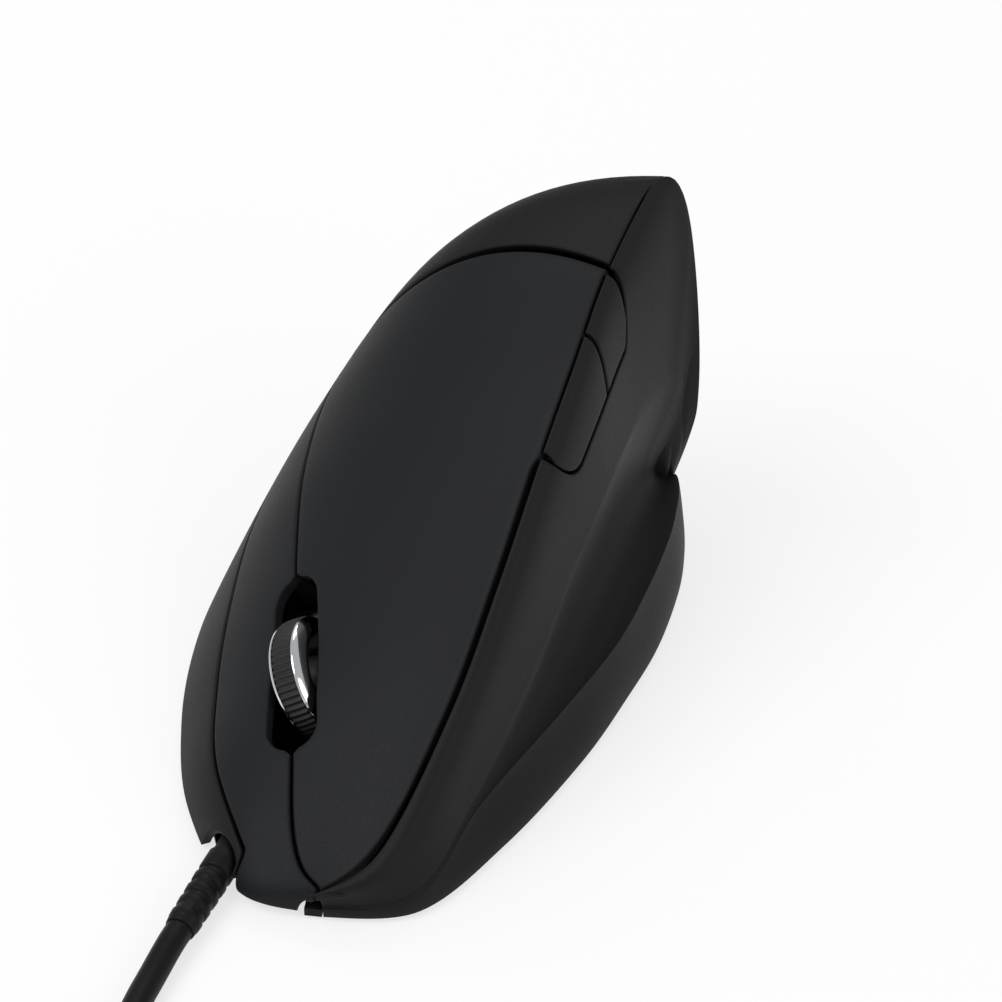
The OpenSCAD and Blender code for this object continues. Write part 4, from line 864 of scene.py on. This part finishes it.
# Nickel plated on steel sheet, for the plug's shell: a warmer and softer mirror
nickel_plate = moulded("nickel_plated_sheet", "bdbdb8", "c9c9c5", 4, 0.5, 0.004, 0.18, 0.3,
                       {"Metallic": 1.0})
# Ground steel of the pins and screws: grey, with a blurred shine
ground_steel = moulded("ground_steel", "a8a9ab", "b6b7b9", 3, 0.3, 0.006, 0.25, 0.4, {"Metallic": 1.0})
# Solder mask on the boards: a dark green lacquer
solder_mask = moulded("solder_mask_on_board", "123a24", "17472c", 4, 0.6, 0.015, 0.25, 0.4, {"IOR": 1.55})
# Moulded polycarbonate of the lens: clear and smooth
clear_lens = moulded("moulded_polycarbonate", "c4ced4", "d2dade", 4, 1.5, 0.002, 0.05, 0.1,
                     {"IOR": 1.58, "Transmission Weight": 0.85})
# Cast epoxy of the lamp: tinted red and smooth
red_epoxy = moulded("tinted_epoxy_lamp", "8e241e", "a83028", 2, 0.8, 0.002, 0.1, 0.2, {"IOR": 1.55})
print("materials", len(bpy.data.materials))

# %% Dress the pieces
FINISH_NODES = [
    (base_abs, "base_plate cable_gland"),
    (glide_ptfe, "foot_front foot_finger_side foot_thumb_side"),
    (ground_steel, "case_screws board_screws hinge_pin fork_pin fork_spring side_pin wheel_axle"),
    (inner_abs, "inner_frame left_switch right_switch middle_switch left_lever right_lever wheel_fork "
                "encoder wheel_hub side_bracket forward_switch back_switch forward_sleeve back_sleeve "
                "optical_sensor controller_chip"),
    (white_nylon, "left_plunger right_plunger middle_plunger forward_plunger back_plunger "
                  "encoder_rotor cable_socket plug_tongue"),
    (solder_mask, "button_board side_board main_board"),
    (clear_lens, "sensor_lens"),
    (red_epoxy, "led_lamp"),
    (jacket_pvc, "cable_tail"),
    (nickel_plate, "plug_shell"),
]
for finish, names in FINISH_NODES:
    for name in names.split():
        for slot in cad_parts[name].material_slots:
            slot.material = finish
FINISH_PIECES = [
    (cap_abs, [left_cap, right_cap]),
    (shell_abs, [palm_skin, thumb_skin, forward_cap, back_cap]),
    (tyre_rubber, [tyre]),
    (bright_plate, [bpy.data.objects["plated_ring_left"], bpy.data.objects["plated_ring_right"]]),
    (jacket_pvc, [cable_jacket, relief, strap, grip]),
]
for finish, dressed in FINISH_PIECES:
    for piece in dressed:
        piece.data.materials.append(finish)

# %% [markdown]
# ## Floor and light
# The photograph is a cut-out on white under soft light from all round. A pale floor that also glows a
# little to the camera stays near white and still takes the shadow. Three large soft lamps at a plain level
# give the black plastic its long, soft highlights.

# %% Floor
floor_mesh = bpy.data.meshes.new("pale_floor")
FLOOR_HALF, FLOOR_DROP, FLOOR_GLOW = 4.0, 0.0001, 0.7
floor_mesh.from_pydata([(-FLOOR_HALF, -FLOOR_HALF, 0), (FLOOR_HALF, -FLOOR_HALF, 0),
                        (FLOOR_HALF, FLOOR_HALF, 0), (-FLOOR_HALF, FLOOR_HALF, 0)], [], [(0, 1, 2, 3)])
floor = bpy.data.objects.new("pale_floor", floor_mesh)
floor.location.z = -FLOOR_DROP
bpy.context.scene.collection.objects.link(floor)
floor_paper = bpy.data.materials.new("pale_paper_floor")
floor_paper.use_nodes = True
tree = floor_paper.node_tree
tree.nodes.remove(tree.nodes["Principled BSDF"])
paths = add_node(tree, "ShaderNodeLightPath", {})
seen = add_node(tree, "ShaderNodeMath",
                {0: paths.outputs["Is Camera Ray"], 1: paths.outputs["Is Glossy Ray"]}, operation="MAXIMUM")
seen = add_node(tree, "ShaderNodeMath", {0: seen.outputs[0], 1: paths.outputs["Is Transmission Ray"]},
                operation="MAXIMUM")
glow_share = add_node(tree, "ShaderNodeMath", {0: seen.outputs[0], 1: FLOOR_GLOW}, operation="MULTIPLY")
paper = add_node(tree, "ShaderNodeBsdfDiffuse", {"Color": linear("f2f2f2")})
glow = add_node(tree, "ShaderNodeEmission", {"Color": linear("ffffff"), "Strength": 1.0})
both = add_node(tree, "ShaderNodeMixShader",
                {0: glow_share.outputs[0], 1: paper.outputs[0], 2: glow.outputs[0]})
tree.links.new(both.outputs[0], tree.nodes["Material Output"].inputs["Surface"])
floor_mesh.materials.append(floor_paper)

# %% World and lamps
SKY_LIGHT, SKY_SEEN = 0.55, 1.0
world = bpy.data.worlds.new("studio")
bpy.context.scene.world = world
world.use_nodes = True
tree = world.node_tree
paths = add_node(tree, "ShaderNodeLightPath", {})
sky = tree.nodes["Background"]
sky.inputs["Color"].default_value = linear("ffffff")
level = add_node(tree, "ShaderNodeMapRange",
                 {"Value": paths.outputs["Is Camera Ray"], "To Min": SKY_LIGHT, "To Max": SKY_SEEN})
tree.links.new(level.outputs["Result"], sky.inputs["Strength"])


def soft_lamp(name, place, aim, size, power):
    data = bpy.data.lights.new(name, "AREA")
    data.shape = "DISK"
    data.size = size
    data.energy = power
    lamp = bpy.data.objects.new(name, data)
    bpy.context.scene.collection.objects.link(lamp)
    away = unit(np.array(place, float) - np.array(aim, float))
    side = unit(np.cross(UP, away))
    over = np.cross(away, side)
    lamp.matrix_world = Matrix([[side[k], over[k], away[k], place[k]] for k in range(3)] + [[0, 0, 0, 1]])
    return lamp


soft_lamp("key_softbox", (-0.55, -0.35, 0.9), (0, 0, 0.03), 0.7, 5.5)
soft_lamp("fill_softbox", (0.9, -0.5, 0.6), (0, 0, 0.03), 0.8, 3.0)
soft_lamp("rear_softbox", (0.1, 0.9, 0.8), (0, 0, 0.04), 0.7, 3.0)
bpy.context.scene.view_settings.view_transform = "Standard"

# %% The end
bpy.context.view_layer.update()
